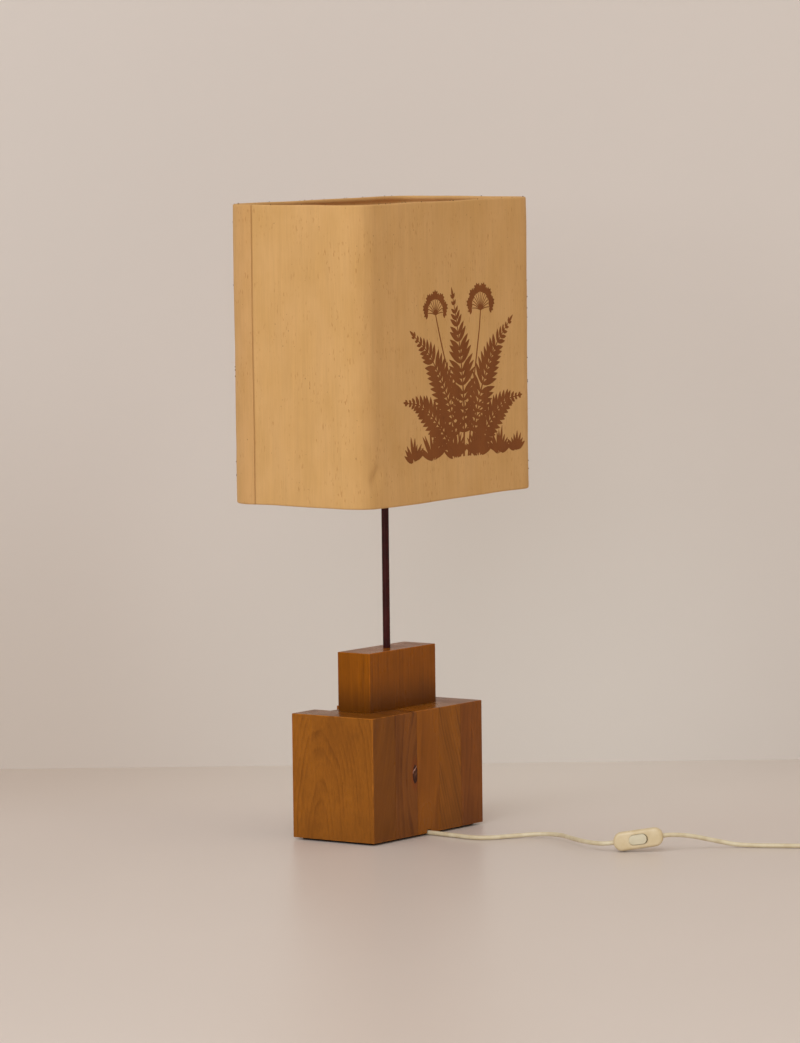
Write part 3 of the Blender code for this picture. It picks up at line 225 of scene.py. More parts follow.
class GrownWood(Pattern):
    """Wood cut from a log: rings round a leaning pith, fibres, pores and clouds of colour."""

    title = "grown_wood"
    inputs = {
        "Position": VECTOR_INPUT,
        "Pith": VECTOR_INPUT,
        "Lean": VECTOR_INPUT,
        "Ring": ("Float", 0.005),
        "Wander": ("Float", 0.004),
        "Push": ("Float", 0.0),
        "Sharp": ("Float", 1.7),
    }
    outputs = {"Late": "Float", "Fibre": "Float", "Pore": "Float", "Cloud": "Float", "Height": "Float"}

    @classmethod
    def wire(cls, wiring: Wiring, given: dict[str, NodeSocket]) -> dict[str, NodeSocket]:
        """Rings are sawtooth waves of the distance from the pith, each with its own strength."""
        place = given["Position"]
        height = wiring.parts(place)[2]
        drift = wiring.vector("MULTIPLY", given["Lean"], wiring.node(
            "ShaderNodeCombineXYZ", {0: height, 1: height, 2: 0.0}).outputs[0])
        centred = wiring.vector("SUBTRACT", wiring.vector("SUBTRACT", place, given["Pith"]), drift)
        level = wiring.vector("MULTIPLY", centred, (1.0, 1.0, 0.0))
        aside = wiring.node("ShaderNodeCombineXYZ", {0: given["Push"]}).outputs[0]
        moved = wiring.vector("ADD", wiring.vector("SUBTRACT", place, drift),
                              wiring.vector("ADD", given["Pith"], aside))
        broad = wiring.math("SUBTRACT", wiring.noise(moved, (24.0, 24.0, 8.0), 2.0), 0.5)
        small = wiring.math("SUBTRACT", wiring.noise(moved, (130.0, 130.0, 22.0), 3.0), 0.5)
        wander = wiring.math("ADD", wiring.math("MULTIPLY", broad, given["Wander"]),
                             wiring.math("MULTIPLY", small, 0.0026))
        radius = wiring.math("ADD", wiring.vector("LENGTH", level), wander)
        count = wiring.math("DIVIDE", wiring.math("ADD", radius, given["Push"]), given["Ring"])
        share = wiring.math("FRACT", count)
        rise = wiring.math("POWER", share, given["Sharp"])
        fall = wiring.span(share, 0.80, 1.0, 1.0, 0.0, soft=True)
        own = wiring.node("ShaderNodeTexWhiteNoise", {"W": wiring.math("FLOOR", count)},
                          noise_dimensions="1D").outputs["Value"]
        broken = wiring.span(wiring.noise(moved, (60.0, 60.0, 14.0), 2.0), 0.36, 0.60, 0.15, 1.0)
        strength = wiring.math("MULTIPLY", wiring.span(own, 0.0, 1.0, 0.20, 1.0), broken)
        late = wiring.math("MULTIPLY", wiring.math("MULTIPLY", rise, fall), strength)
        fibre = wiring.noise(moved, (420.0, 420.0, 12.0), 4.0)
        pore = wiring.span(wiring.noise(moved, (1300.0, 1300.0, 95.0), 1.0), 0.62, 0.74)
        cloud = wiring.noise(moved, (26.0, 26.0, 8.0), 4.0)
        relief = wiring.math("SUBTRACT", wiring.math("MULTIPLY", fibre, 0.6),
                             wiring.math("ADD", pore, wiring.math("MULTIPLY", late, 0.5)))
        return {"Late": late, "Fibre": fibre, "Pore": pore, "Cloud": cloud, "Height": relief}


class Knot(Pattern):
    """A small knot on a board's face: a dark rim, a lighter core with a pale slanted line, and rings pushed aside.
    """

    title = "knot"
    inputs = {
        "Position": VECTOR_INPUT,
        "Centre": VECTOR_INPUT,
        "Size": ("Vector", (0.004, 1.0, 0.010)),
    }
    outputs = {"Push": "Float", "Core": "Float", "Rim": "Float", "Halo": "Float", "Scar": "Float"}

    @classmethod
    def wire(cls, wiring: Wiring, given: dict[str, NodeSocket]) -> dict[str, NodeSocket]:
        """All but the pale slanted line follow the distance from the branch's line alone, which runs along Y."""
        ragged = wiring.node("ShaderNodeTexNoise", {"Vector": given["Position"], "Scale": 260.0})
        loose = wiring.vector("MULTIPLY", wiring.vector("SUBTRACT", ragged.outputs[1], (0.5, 0.5, 0.5)),
                              (0.0030, 0.0, 0.0060))
        offset = wiring.vector("SUBTRACT", wiring.vector("ADD", given["Position"], loose), given["Centre"])
        reach = wiring.vector("LENGTH", wiring.vector("DIVIDE", offset, given["Size"]))
        swell = wiring.math("POWER", 2.718, wiring.math("MULTIPLY", wiring.math("MULTIPLY", reach, reach), -0.04))
        push = wiring.math("MULTIPLY", swell, 0.036)
        core = wiring.span(reach, 0.86, 1.0, 1.0, 0.0, soft=True)
        rim = wiring.span(reach, 0.45, 0.80, 0.0, 1.0, soft=True)
        halo = wiring.math("SUBTRACT", wiring.span(reach, 1.0, 2.2, 1.0, 0.0, soft=True), core, clamp=True)
        across, _, up = wiring.parts(offset)
        slant = wiring.math("ABSOLUTE", wiring.math("SUBTRACT", wiring.math("SUBTRACT", up, 0.0075), across))
        pale_line = wiring.math("MULTIPLY", wiring.span(slant, 0.0006, 0.0015, 1.0, 0.0, soft=True), core)
        return {"Push": push, "Core": core, "Rim": rim, "Halo": halo, "Scar": pale_line}


class WornLitEdgesFootShade(Pattern):
    """Where the edges of a box are rubbed and take a painted highlight, and where painted shade falls towards its
    foot, measured from its sides.
    """

    title = "worn_lit_edges_foot_shade"
    inputs = {
        "Position": VECTOR_INPUT,
        "Centre": VECTOR_INPUT,
        "Half": ("Vector", (0.1, 0.1, 0.1)),
        "Width": ("Float", 0.002),
    }
    outputs = {"Edge": "Float", "Foot": "Float"}

    @classmethod
    def wire(cls, wiring: Wiring, given: dict[str, NodeSocket]) -> dict[str, NodeSocket]:
        """A point is at an edge where the second least of its distances from the sides is small."""
        offset = wiring.vector("SUBTRACT", given["Position"], given["Centre"])
        depth = wiring.vector("SUBTRACT", given["Half"], wiring.vector("ABSOLUTE", offset))
        x, y, z = wiring.parts(depth)
        low, high = wiring.math("MINIMUM", x, y), wiring.math("MAXIMUM", x, y)
        second = wiring.math("MAXIMUM", low, wiring.math("MINIMUM", high, z))
        uneven = wiring.span(wiring.noise(given["Position"], (90.0, 90.0, 60.0), 3.0), 0.35, 0.7, 0.1, 1.3)
        edge = wiring.math("DIVIDE", second, wiring.math("MULTIPLY", given["Width"], uneven))
        height = wiring.math("ADD", wiring.parts(offset)[2], wiring.parts(given["Half"])[2])
        return {"Edge": wiring.span(edge, 0.2, 1.0, 1.0, 0.0, soft=True),
                "Foot": wiring.span(height, 0.0, 0.05, 1.0, 0.0, soft=True)}


class WovenCloth(Pattern):
    """A plain weave with uneven upright threads, slubs and small dark specks, on a UV map in metres."""

    title = "woven_cloth"
    inputs = {
        "Place": VECTOR_INPUT,
        "Thread": ("Float", 0.0006),
    }
    outputs = {"Streak": "Float", "Slub": "Float", "Speck": "Float", "Cloud": "Float", "Height": "Float"}

    @classmethod
    def wire(cls, wiring: Wiring, given: dict[str, NodeSocket]) -> dict[str, NodeSocket]:
        """Threads are two sine waves, and the rest is noise that is stretched along them."""
        place = given["Place"]
        sway = wiring.math("MULTIPLY", wiring.noise(place, (60.0, 9.0, 1.0)), 0.0020)
        across, along, _ = wiring.parts(place)
        turn = wiring.math("DIVIDE", math.tau / 2, given["Thread"])
        warp = wiring.math("ABSOLUTE", wiring.math("SINE", wiring.math(
            "MULTIPLY", wiring.math("ADD", across, sway), turn)))
        weft = wiring.math("ABSOLUTE", wiring.math("SINE", wiring.math("MULTIPLY", along, turn)))
        weave = wiring.math("MULTIPLY", warp, weft)
        streak = wiring.math("MULTIPLY", wiring.math("ADD", wiring.noise(place, (520.0, 22.0, 1.0), 5.0),
                                                     wiring.noise(place, (150.0, 7.0, 1.0), 4.0)), 0.5)
        slub = wiring.span(wiring.noise(place, (430.0, 92.0, 1.0), 1.0), 0.63, 0.71)
        patches = wiring.span(wiring.noise(place, (34.0, 17.0, 1.0), 3.0), 0.44, 0.60)
        slub = wiring.math("MULTIPLY", slub, patches)
        speck = wiring.span(wiring.noise(place, (420.0, 240.0, 1.0), 0.0), 0.835, 0.87)
        cloud = wiring.noise(place, (26.0, 15.0, 1.0), 5.0)
        height = wiring.math("ADD", weave, wiring.math("ADD", wiring.math("MULTIPLY", streak, 1.3), wiring.math(
            "MULTIPLY", slub, 0.4)))
        return {"Streak": streak, "Slub": slub, "Speck": speck, "Cloud": cloud, "Height": height}


class Mottle(Pattern):
    """Slightly uneven colour, gloss and surface of a plain moulded, painted or metal piece."""

    title = "mottle"
    inputs = {
        "Position": VECTOR_INPUT,
        "Grain": ("Float", 400.0),
    }
    outputs = {"Cloud": "Float", "Fleck": "Float", "Height": "Float"}

    @classmethod
    def wire(cls, wiring: Wiring, given: dict[str, NodeSocket]) -> dict[str, NodeSocket]:
        """Broad clouds, small flecks and a fine relief."""
        place = given["Position"]
        cloud = wiring.noise(place, (70.0, 70.0, 70.0), 4.0)
        scaled = wiring.node("ShaderNodeTexNoise", {"Vector": place, "Scale": given["Grain"], "Detail": 3.0})
        fleck = wiring.span(scaled.outputs[0], 0.60, 0.72)
        return {"Cloud": cloud, "Fleck": fleck, "Height": scaled.outputs[0]}


class Shading:
    """A material with its wiring, its Principled shader and its texture coordinates."""

    def __init__(self, title: str) -> None:
        """Makes the material."""
        self.material: Material = bpy.data.materials.new(title)
        self.material.use_nodes = True
        self.wiring = Wiring(self.material.node_tree)
        self.shader = self.material.node_tree.nodes["Principled BSDF"]
        coordinates = self.wiring.node("ShaderNodeTexCoord")
        self.position: NodeSocket = coordinates.outputs["Object"]
        self.uv: NodeSocket = coordinates.outputs["UV"]

    def set(self, **values: Value) -> None:
        """Sets or links inputs of the shader, with _ for a space in their names."""
        for name, value in values.items():
            self.wiring.put(self.shader.inputs[name.replace("_", " ")], value)

    def bump(self, height: NodeSocket, depth: float, strength: float = 1.0) -> None:
        """Gives the surface a relief of a real depth in metres."""
        made = self.wiring.node("ShaderNodeBump", {"Height": height, "Distance": depth, "Strength": strength})
        self.set(Normal=made.outputs[0])


@dataclass(frozen=True)
class Finish:
    """A finish: the name of its material, and the record's material slot that it shows."""

    title: str
    slot: str

    def mixed(self) -> Material:
        """Makes the material."""
        raise NotImplementedError

    def material(self) -> Material:
        """The finish's material, made at its first use."""
        return bpy.data.materials.get(self.title) or self.mixed()


@dataclass(frozen=True)
class Wood:
    """An oiled board with its own tone, its own place in the log, rubbed edges with a painted highlight, and
    painted shade at its foot and, when set, on its faces away from its -X end.
    """

    title: str
    light: Colour
    dark: Colour
    pith: Pair
    lean: Pair
    ring: float = 0.0050
    wander: float = 0.010
    contrast: float = 0.55
    # strength of the painted shade towards the foot of the box
    foot: float = 0.18
    knot: Point | None = None
    knot_size: Point = (0.0056, 1.0, 0.0135)
    sharp: float = 1.7
    fibre: float = 1.0
    # strength of the painted shade on the faces away from the board's -X end
    side_shade: float = 0.0

    def material(self, low: Vector, high: Vector) -> Material:
        """The board's material, with its rubbed, highlit edges and its painted foot shade at those of a box."""
        shading = Shading(self.title)
        wiring, place = shading.wiring, shading.position
        marks = Knot.place(wiring, Position=place, Centre=self.knot, Size=self.knot_size) if self.knot else None
        grown = GrownWood.place(
            wiring, Position=place, Pith=(*self.pith, 0.0), Lean=(*self.lean, 0.0), Ring=self.ring,
            Wander=self.wander, Push=marks["Push"] if marks else 0.0, Sharp=self.sharp)
        edges = WornLitEdgesFootShade.place(wiring, Position=place, Centre=(low + high) / 2, Half=(high - low) / 2)
        late = wiring.math("MULTIPLY", grown["Late"], self.contrast)
        colour = wiring.mix(late, self.light, self.dark)
        streak = wiring.span(grown["Fibre"], 0.32, 0.68, 1.0 - 0.10 * self.fibre, 1.0 + 0.09 * self.fibre)
        colour = wiring.mix(1.0, colour, wiring.node(
            "ShaderNodeCombineColor", {0: streak, 1: streak, 2: streak}).outputs[0], "MULTIPLY")
        # Painted shade: past the first few millimetres from the -X end, the board's other faces turn darker.
        if self.side_shade:
            inward = wiring.math("SUBTRACT", wiring.parts(place)[0], low.x)
            colour = wiring.mix(wiring.span(inward, 0.0006, 0.0040, 0.0, self.side_shade, soft=True), colour, self.dark)
        deep = tuple(level * 0.62 for level in self.dark[:3]) + (1.0,)
        colour = wiring.mix(wiring.math("MULTIPLY", grown["Pore"], 0.24), colour, deep)
        warm = wiring.span(grown["Cloud"], 0.38, 0.66, 0.0, 0.32)
        colour = wiring.mix(warm, colour, self.dark)
        if marks:
            colour = wiring.mix(wiring.math("MULTIPLY", marks["Halo"], 0.40), colour, shown(126, 52, 16))
            inside = wiring.span(wiring.noise(place, (520.0, 520.0, 130.0), 3.0), 0.42, 0.62)
            inside = wiring.mix(inside, shown(58, 24, 12), shown(112, 70, 50))
            inside = wiring.mix(marks["Rim"], inside, shown(44, 14, 6))
            inside = wiring.mix(marks["Scar"], inside, shown(178, 132, 118))
            colour = wiring.mix(marks["Core"], colour, inside)
        # Rubbed edges, made lighter both as wear and as a painted highlight.
        rubbed_and_highlit = tuple(min(1.0, level * 1.9) for level in self.light[:3]) + (1.0,)
        colour = wiring.mix(wiring.math("MULTIPLY", edges["Edge"], 0.35), colour, rubbed_and_highlit)
        # Painted shade: darker towards the foot of the box.
        colour = wiring.mix(wiring.math("MULTIPLY", edges["Foot"], self.foot), colour, deep)
        rough = wiring.math("ADD", wiring.span(grown["Cloud"], 0.3, 0.7, 0.24, 0.34),
                            wiring.math("MULTIPLY", grown["Pore"], 0.15))
        shading.set(Base_Color=colour, Roughness=rough, Specular_IOR_Level=0.11)
        shading.bump(grown["Height"], 0.00004, 0.6)
        return shading.material


@dataclass(frozen=True)
class Cloth(Finish):
    """The shade's cloth, plain or under a flat print."""

    thread: Colour
    slub: Colour
    cloudy: Colour
    roughness: float = 0.82
    seam: float | None = None

    def mixed(self) -> Material:
        """The cloth's material on the piece's own UV map, which is the sheet as it was cut."""
        shading = Shading(self.title)
        wiring = shading.wiring
        woven = WovenCloth.place(wiring, Place=shading.uv)
        colour = wiring.mix(wiring.span(woven["Cloud"], 0.35, 0.68), self.thread, self.cloudy)
        streak = wiring.span(woven["Streak"], 0.34, 0.66, 0.945, 1.045)
        colour = wiring.mix(1.0, colour, wiring.node(
            "ShaderNodeCombineColor", {0: streak, 1: streak, 2: streak}).outputs[0], "MULTIPLY")
        colour = wiring.mix(wiring.math("MULTIPLY", woven["Slub"], 0.55), colour, self.slub)
        colour = wiring.mix(wiring.math("MULTIPLY", woven["Speck"], 0.5), colour, shown(96, 62, 34))
        if self.seam:
            across = wiring.parts(shading.uv)[0]
            # A thin darker line along the seam.
            apart = wiring.math("ABSOLUTE", wiring.math("SUBTRACT", across, self.seam - 0.0008))
            seam_line = wiring.span(apart, 0.0002, 0.0008, 0.36, 0.0, soft=True)
            colour = wiring.mix(seam_line, colour, shown(126, 70, 26))
            # Painted shade: the strip beside the seam, where the sheet turns into the far corner, is darker and
            # pinker.
            flap_shade = wiring.span(across, 0.012, 0.040, 0.4, 0.0, soft=True)
            colour = wiring.mix(flap_shade, colour, wiring.mix(1.0, colour, (0.88, 0.82, 0.86, 1.0), "MULTIPLY"))
        shading.set(Base_Color=colour, Roughness=self.roughness, Specular_IOR_Level=0.1,
                    Sheen_Weight=0.04, Sheen_Roughness=0.5)
        shading.bump(woven["Height"], 0.00012, 0.7)
        return shading.material


@dataclass(frozen=True)
class Plain(Finish):
    """A moulded, painted, glazed or metal finish with uneven colour and gloss."""

    colour: Colour
    second: Colour
    rough: Pair = (0.3, 0.45)
    grain: float = 400.0
    relief: float = 0.00001
    metallic: float = 0.0
    specular: float = 0.5
    coat: float = 0.0
    flecks: float = 0.3

    def mixed(self) -> Material:
        """The material, with the colours in clouds and flecks."""
        shading = Shading(self.title)
        wiring = shading.wiring
        uneven = Mottle.place(wiring, Position=shading.position, Grain=self.grain)
        colour = wiring.mix(wiring.span(uneven["Cloud"], 0.35, 0.65), self.colour, self.second)
        colour = wiring.mix(wiring.math("MULTIPLY", uneven["Fleck"], self.flecks), colour, self.second)
        rough = wiring.span(uneven["Cloud"], 0.3, 0.7, *self.rough)
        shading.set(Base_Color=colour, Roughness=rough, Metallic=self.metallic,
                    Specular_IOR_Level=self.specular, Coat_Weight=self.coat)
        shading.bump(uneven["Height"], self.relief, 0.5)
        return shading.material


@dataclass(frozen=True)
class Felt(Finish):
    """Pressed wool with a short matted pile."""

    colour: Colour
    lint: Colour

    def mixed(self) -> Material:
        """The felt's material."""
        shading = Shading(self.title)
        wiring, place = shading.wiring, shading.position
        hair = wiring.noise(place, (1900.0, 1500.0, 1700.0), 3.0)
        lint = wiring.span(wiring.noise(place, (500.0, 90.0, 400.0), 2.0), 0.64, 0.72, 0.0, 0.5)
        colour = wiring.mix(lint, self.colour, self.lint)
        shading.set(Base_Color=colour, Roughness=0.97, Specular_IOR_Level=0.05, Sheen_Weight=0.08)
        shading.bump(hair, 0.0005, 0.9)
        return shading.material


FELT = Felt("pressed_felt", "dark_felt", shown(26, 17, 15), shown(70, 54, 46))
ZINC = Plain("zinc_plating", "zinc_plated_steel", shown(196, 196, 190), shown(150, 148, 140), (0.25, 0.45),
             metallic=1.0)
BRASS = Plain("dull_brass", "brass", shown(196, 158, 88), shown(150, 112, 58), (0.25, 0.42), metallic=1.0)
NICKEL = Plain("nickel_plated_brass", "brass", shown(206, 200, 188), shown(170, 162, 148), (0.18, 0.32),
               metallic=1.0)
LACQUER = Plain("stem_lacquer", "maroon_lacquer", shown(66, 17, 15), shown(50, 10, 9), (0.16, 0.28), 900.0,
                0.000006, specular=0.16)
BAKELITE = Plain("moulded_bakelite", "brown_bakelite", shown(44, 27, 20), shown(62, 38, 26), (0.22, 0.36), 700.0)
CERAMIC = Plain("glazed_ceramic", "white_ceramic", shown(228, 222, 208), shown(212, 203, 186), (0.12, 0.25))
OPAL = Plain("opal_bulb_glass", "opal_glass", shown(238, 234, 224), shown(230, 224, 212), (0.10, 0.16), 120.0,
             0.000004)
WIRE_PAINT = Plain("white_wire_paint", "white_painted_wire", shown(222, 214, 196), shown(196, 184, 162),
                   (0.30, 0.5), 600.0, 0.00002)
CORD_JACKET = Plain("cream_cord_jacket", "cream_cord", shown(214, 202, 172), shown(200, 184, 150), (0.34, 0.5),
                    900.0, 0.00001)
SWITCH_SHELL = Plain("cream_switch_shell", "cream_plastic", shown(212, 193, 157), shown(202, 181, 141),
                     (0.26, 0.4), 1200.0)
ROCKER_FACE = Plain("rocker_face", "rocker_plastic", shown(209, 199, 172), shown(197, 186, 158), (0.3, 0.45),
                    1200.0)
PILL = Plain("dark_pill", "beige_fabric", shown(92, 64, 40), shown(66, 44, 28), (0.85, 0.95), 1500.0, 0.00005,
             specular=0.05)
SLEEVE_BLACK = Plain("black_pin_sleeve", "cream_plastic", shown(34, 32, 30), shown(46, 43, 40), (0.3, 0.45))
HARDBOARD = Plain("raw_hardboard", "hardboard", shown(122, 88, 58), shown(96, 66, 42), (0.75, 0.9), 1500.0, 0.00008)
# The backing's orange is brighter and deeper than its own colour: painted light that shines through the cloth.
GLOWING_BACKING = Plain("backing_with_painted_glow", "beige_fabric", shown(210, 146, 58), shown(194, 124, 42), (0.55, 0.7), 500.0,
                0.00002)
SHADE_CLOTH = Cloth("shade_cloth", "beige_fabric", shown(208, 163, 106), shown(166, 112, 58), shown(202, 157, 98),
                    seam=1.21533)
PRINT_INK = Cloth("shade_print", "beige_fabric", shown(133, 78, 36), shown(104, 57, 24), shown(125, 71, 32), 0.9)

BOARD_WOODS = (
    Wood("board_wood_1", shown(150, 90, 26), shown(94, 50, 12), (-0.1235, 0.0195), (0.25, 0.01), 0.0060, 0.014, 0.7,
         side_shade=0.45),
    Wood("board_wood_2", shown(135, 79, 28), shown(76, 36, 10), (-0.2540, 0.0000), (0.02, 0.02), 0.0120, 0.003,
         0.85, 0.18, (-0.0308, -0.067, 0.0860), sharp=0.45, fibre=0.7),
    Wood("board_wood_3", shown(148, 86, 20), shown(112, 60, 12), (0.0900, 0.0900), (0.02, 0.05), 0.0110, 0.012,
         0.8),
    Wood("board_wood_4", shown(148, 88, 24), shown(74, 36, 8), (0.2300, -0.0300), (-0.30, -0.04), 0.0060, 0.013,
         1.0),
    Wood("board_wood_5", shown(134, 76, 26), shown(90, 44, 14), (0.2300, 0.0500), (-0.03, 0.10), 0.0070, 0.014, 1.0,
         0.35),
)
UPPER_WOOD = Wood("upper_board_wood", shown(146, 81, 6), shown(90, 46, 3), (-0.30, 0.12), (0.01, 0.03), 0.0060,
                  0.008, 0.9, 0.70)
DOWEL_WOOD = Plain("dowel_beech", "oiled_wood", shown(190, 150, 104), shown(172, 128, 84), (0.5, 0.7), 900.0)


def mesh_piece(title: str, shape: BMesh, finish: Finish, body: Body, nodes: Iterable[str] = (),
               crease: float = 35.0) -> Object:
    """Turns a bmesh into a finished piece of the lamp.

    Args:
        title: the piece's name.
        shape: its mesh, which is freed.
        finish: its finish.
        body: the body that it rides on.
        nodes: the CAD nodes that it stands for.
        crease: the angle in degrees above which an edge stays sharp.

    Returns:
        The piece's object.
    """
    data = bpy.data.meshes.new(title)
    shape.to_mesh(data)
    shape.free()
    data.materials.append(finish.material())
    data.shade_smooth()
    data.set_sharp_from_angle(angle=math.radians(crease))
    made = bpy.data.objects.new(title, data)
    bpy.context.scene.collection.objects.link(made)
    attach(made, body.value)
    if nodes:
        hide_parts(*nodes)
    LOG.info("%s rides on %s, %d faces", title, body.value, len(data.polygons))
    return made


def dress(node: Object, finish: Material) -> None:
    """Gives a CAD node, whose own mesh stays, a finish."""
    node.data.materials.clear()
    node.data.materials.append(finish)
    LOG.info("%s takes %s", node.name, finish.name)


def closed_up(shape: BMesh) -> BMesh:
    """Merges doubles and turns the faces of a closed shape outwards."""
    bmesh.ops.remove_doubles(shape, verts=shape.verts, dist=MERGE)
    bmesh.ops.dissolve_degenerate(shape, dist=MERGE, edges=shape.edges)
    bmesh.ops.recalc_face_normals(shape, faces=shape.faces)
    return shape


def upright(edge: BMEdge) -> bool:
    """Whether the ends of an edge lie at unlike heights."""
    return abs(edge.verts[0].co.z - edge.verts[1].co.z) > MERGE


def eased(shape: BMesh, edges: Sequence[BMEdge], size: float, segments: int) -> None:
    """Rounds some edges of a shape."""
    bmesh.ops.bevel(shape, geom=edges, offset=size, affect="EDGES", segments=segments, profile=0.5, material=-1)


def mapped(shape: BMesh, layer: BMLayerItem, flat: dict[BMVert, Pair]) -> BMesh:
    """Gives each corner of a shape's faces the place in the UV map that its point has."""
    for face in shape.faces:
        for loop in face.loops:
            loop[layer].uv = flat[loop.vert]
    return shape


def joined(*shapes: BMesh) -> BMesh:
    """Puts several bmeshes into the first one."""
    first = shapes[0]
    for other in shapes[1:]:
        carrier = bpy.data.meshes.new("carrier")
        other.to_mesh(carrier)
        other.free()
        first.from_mesh(carrier)
        bpy.data.meshes.remove(carrier)
    return first


def carved(shape: BMesh, cutters: Iterable[BMesh], operation: str = "DIFFERENCE") -> BMesh:
    """Cuts each of the cutters out of a shape, or joins it to it."""
    objects = []
    for part in (shape, *cutters):
        data = bpy.data.meshes.new("carving")
        part.to_mesh(data)
        part.free()
        objects.append(bpy.data.objects.new("carving", data))
        bpy.context.scene.collection.objects.link(objects[-1])
    body = objects[0]
    for cutter in objects[1:]:
        boolean = body.modifiers.new("cut", "BOOLEAN")
        boolean.operation = operation
        boolean.solver = "EXACT"
        boolean.object = cutter
    graph = bpy.context.evaluated_depsgraph_get()
    result = bmesh.new()
    result.from_mesh(body.evaluated_get(graph).to_mesh())
    for part in objects:
        bpy.data.objects.remove(part, do_unlink=True)
    bmesh.ops.remove_doubles(result, verts=result.verts, dist=MERGE)
    return result


def turned(outline: Outline, steps: int = 64, closed: bool = False) -> BMesh:
    """A profile of radii and heights turned about the Z axis.

    Args:
        outline: the profile's points, from the axis to the axis unless it is closed.
        steps: how many faces go round.
        closed: whether the last point joins the first.

    Returns:
        The turned shape.
    """
    shape = bmesh.new()
    verts = [shape.verts.new((radius, 0.0, height)) for radius, height in outline]
    pairs = list(zip(verts, verts[1:])) + ([(verts[-1], verts[0])] if closed else [])
    edges = [shape.edges.new(pair) for pair in pairs]
    bmesh.ops.spin(shape, geom=verts + edges, cent=(0.0, 0.0, 0.0), axis=WORLD_UP, angle=math.tau,
                   steps=steps, use_merge=True)
    return closed_up(shape)


def thread_shape(radius: float, depth: float, pitch: float, bottom: float, turns: float,
                 inward: bool = False) -> BMesh:
    """A rounded screw thread wound round an upright cylinder.

    Args:
        radius: the cylinder's radius.
        depth: how far the thread stands proud of it.
        pitch: the rise in one turn.
        bottom: the height at which it starts.
        turns: how many turns it makes.
        inward: whether it stands on the inside.

    Returns:
        The thread as a closed shape.
    """
    shape = bmesh.new()
    root = radius + (0.0002 if inward else -0.0002)
    proud = -depth if inward else depth
    outline = [(root, -0.32), (radius + 0.55 * proud, -0.20), (radius + proud, 0.0), (radius + 0.55 * proud, 0.20),
               (root, 0.32)]
    verts = [shape.verts.new((reach, 0.0, bottom + rise * pitch)) for reach, rise in outline]
    face = shape.faces.new(verts)
    steps = round(32 * turns)
    bmesh.ops.spin(shape, geom=[face], cent=(0.0, 0.0, 0.0), axis=WORLD_UP, angle=math.tau * turns,
                   dvec=(0.0, 0.0, pitch * turns / steps), steps=steps, use_merge=False)
    return closed_up(shape)


def rounded_block(length: float, width: float, bottom: float, top: float, corner: float,
                  rim: float = 0.0, lower_rim: float = 0.0, steps: int = 8) -> BMesh:
    """A block with rounded upright corners and rounded rims.

    Args:
        length: its size along X.
        width: its size along Y.
        bottom: its lower height.
        top: its upper height.
        corner: radius of the upright corners.
        rim: radius of the upper rim, or nothing for a sharp one.
        lower_rim: radius of the lower rim.
        steps: faces round each corner.

    Returns:
        The block.
    """
    shape = bmesh.new()
    bmesh.ops.create_cube(shape, size=1.0)
    bmesh.ops.scale(shape, vec=(length, width, top - bottom), verts=shape.verts)
    bmesh.ops.translate(shape, vec=(0.0, 0.0, (top + bottom) / 2), verts=shape.verts)
    corners = [edge for edge in shape.edges if upright(edge)]
    eased(shape, corners, corner, steps)
    for height, radius in ((top, rim), (bottom, lower_rim)):
        if radius:
            edges = [edge for edge in shape.edges if all(abs(vert.co.z - height) < MERGE for vert in edge.verts)]
            eased(shape, edges, radius, 5)
    return closed_up(shape)


def plate(outline: Outline, bottom: float, top: float) -> BMesh:
    """A flat plate of an outline in X and Y, between two heights."""
    shape = bmesh.new()
    face = shape.faces.new([shape.verts.new((x, y, bottom)) for x, y in outline])
    raised = bmesh.ops.extrude_face_region(shape, geom=[face])["geom"]
    verts = [item for item in raised if isinstance(item, BMVert)]
    bmesh.ops.translate(shape, vec=(0.0, 0.0, top - bottom), verts=verts)
    return closed_up(shape)


def placed(shape: BMesh, place: Matrix) -> BMesh:
    """Moves a whole shape."""
    bmesh.ops.transform(shape, matrix=place, verts=shape.verts)
    return shape


def run_length(points: Sequence[Vector]) -> float:
    """Length of a run of points."""
    return sum((end - start).length for start, end in zip(points, points[1:]))


def smooth_route(points: Sequence[Sequence[float]], spacing: float, before: Vector | None = None,
                 after: Vector | None = None) -> list[Vector]:
    """Evenly spaced points on a smooth curve through the given ones.

    Args:
        points: what the curve goes through.
        spacing: the rough distance between the new points.
        before: a point that only guides the heading at the start.
        after: one that guides the heading at the end.

    Returns:
        The new points, with the first and the last of the given ones.
    """
    knots = [Vector(point) for point in points]
    earlier = [before or knots[0]] + knots[:-1]
    later = knots[1:] + [after or knots[-1]]
    headings = [(end - start).normalized() for start, end in zip(earlier, later)]
    fine = knots[:1]
    for index in range(len(knots) - 1):
        start, end = knots[index], knots[index + 1]
        reach = (end - start).length / 3
        fine += interpolate_bezier(start, start + headings[index] * reach,
                                   end - headings[index + 1] * reach, end, 17)[1:]
    count = max(2, round(run_length(fine) / spacing))
    step = run_length(fine) / count
    even, walked = fine[:1], 0.0
    for start, end in zip(fine, fine[1:]):
        run = (end - start).length
        while len(even) < count and walked + run >= step * len(even):
            even.append(start.lerp(end, (step * len(even) - walked) / run))
        walked += run
    return even + fine[-1:]


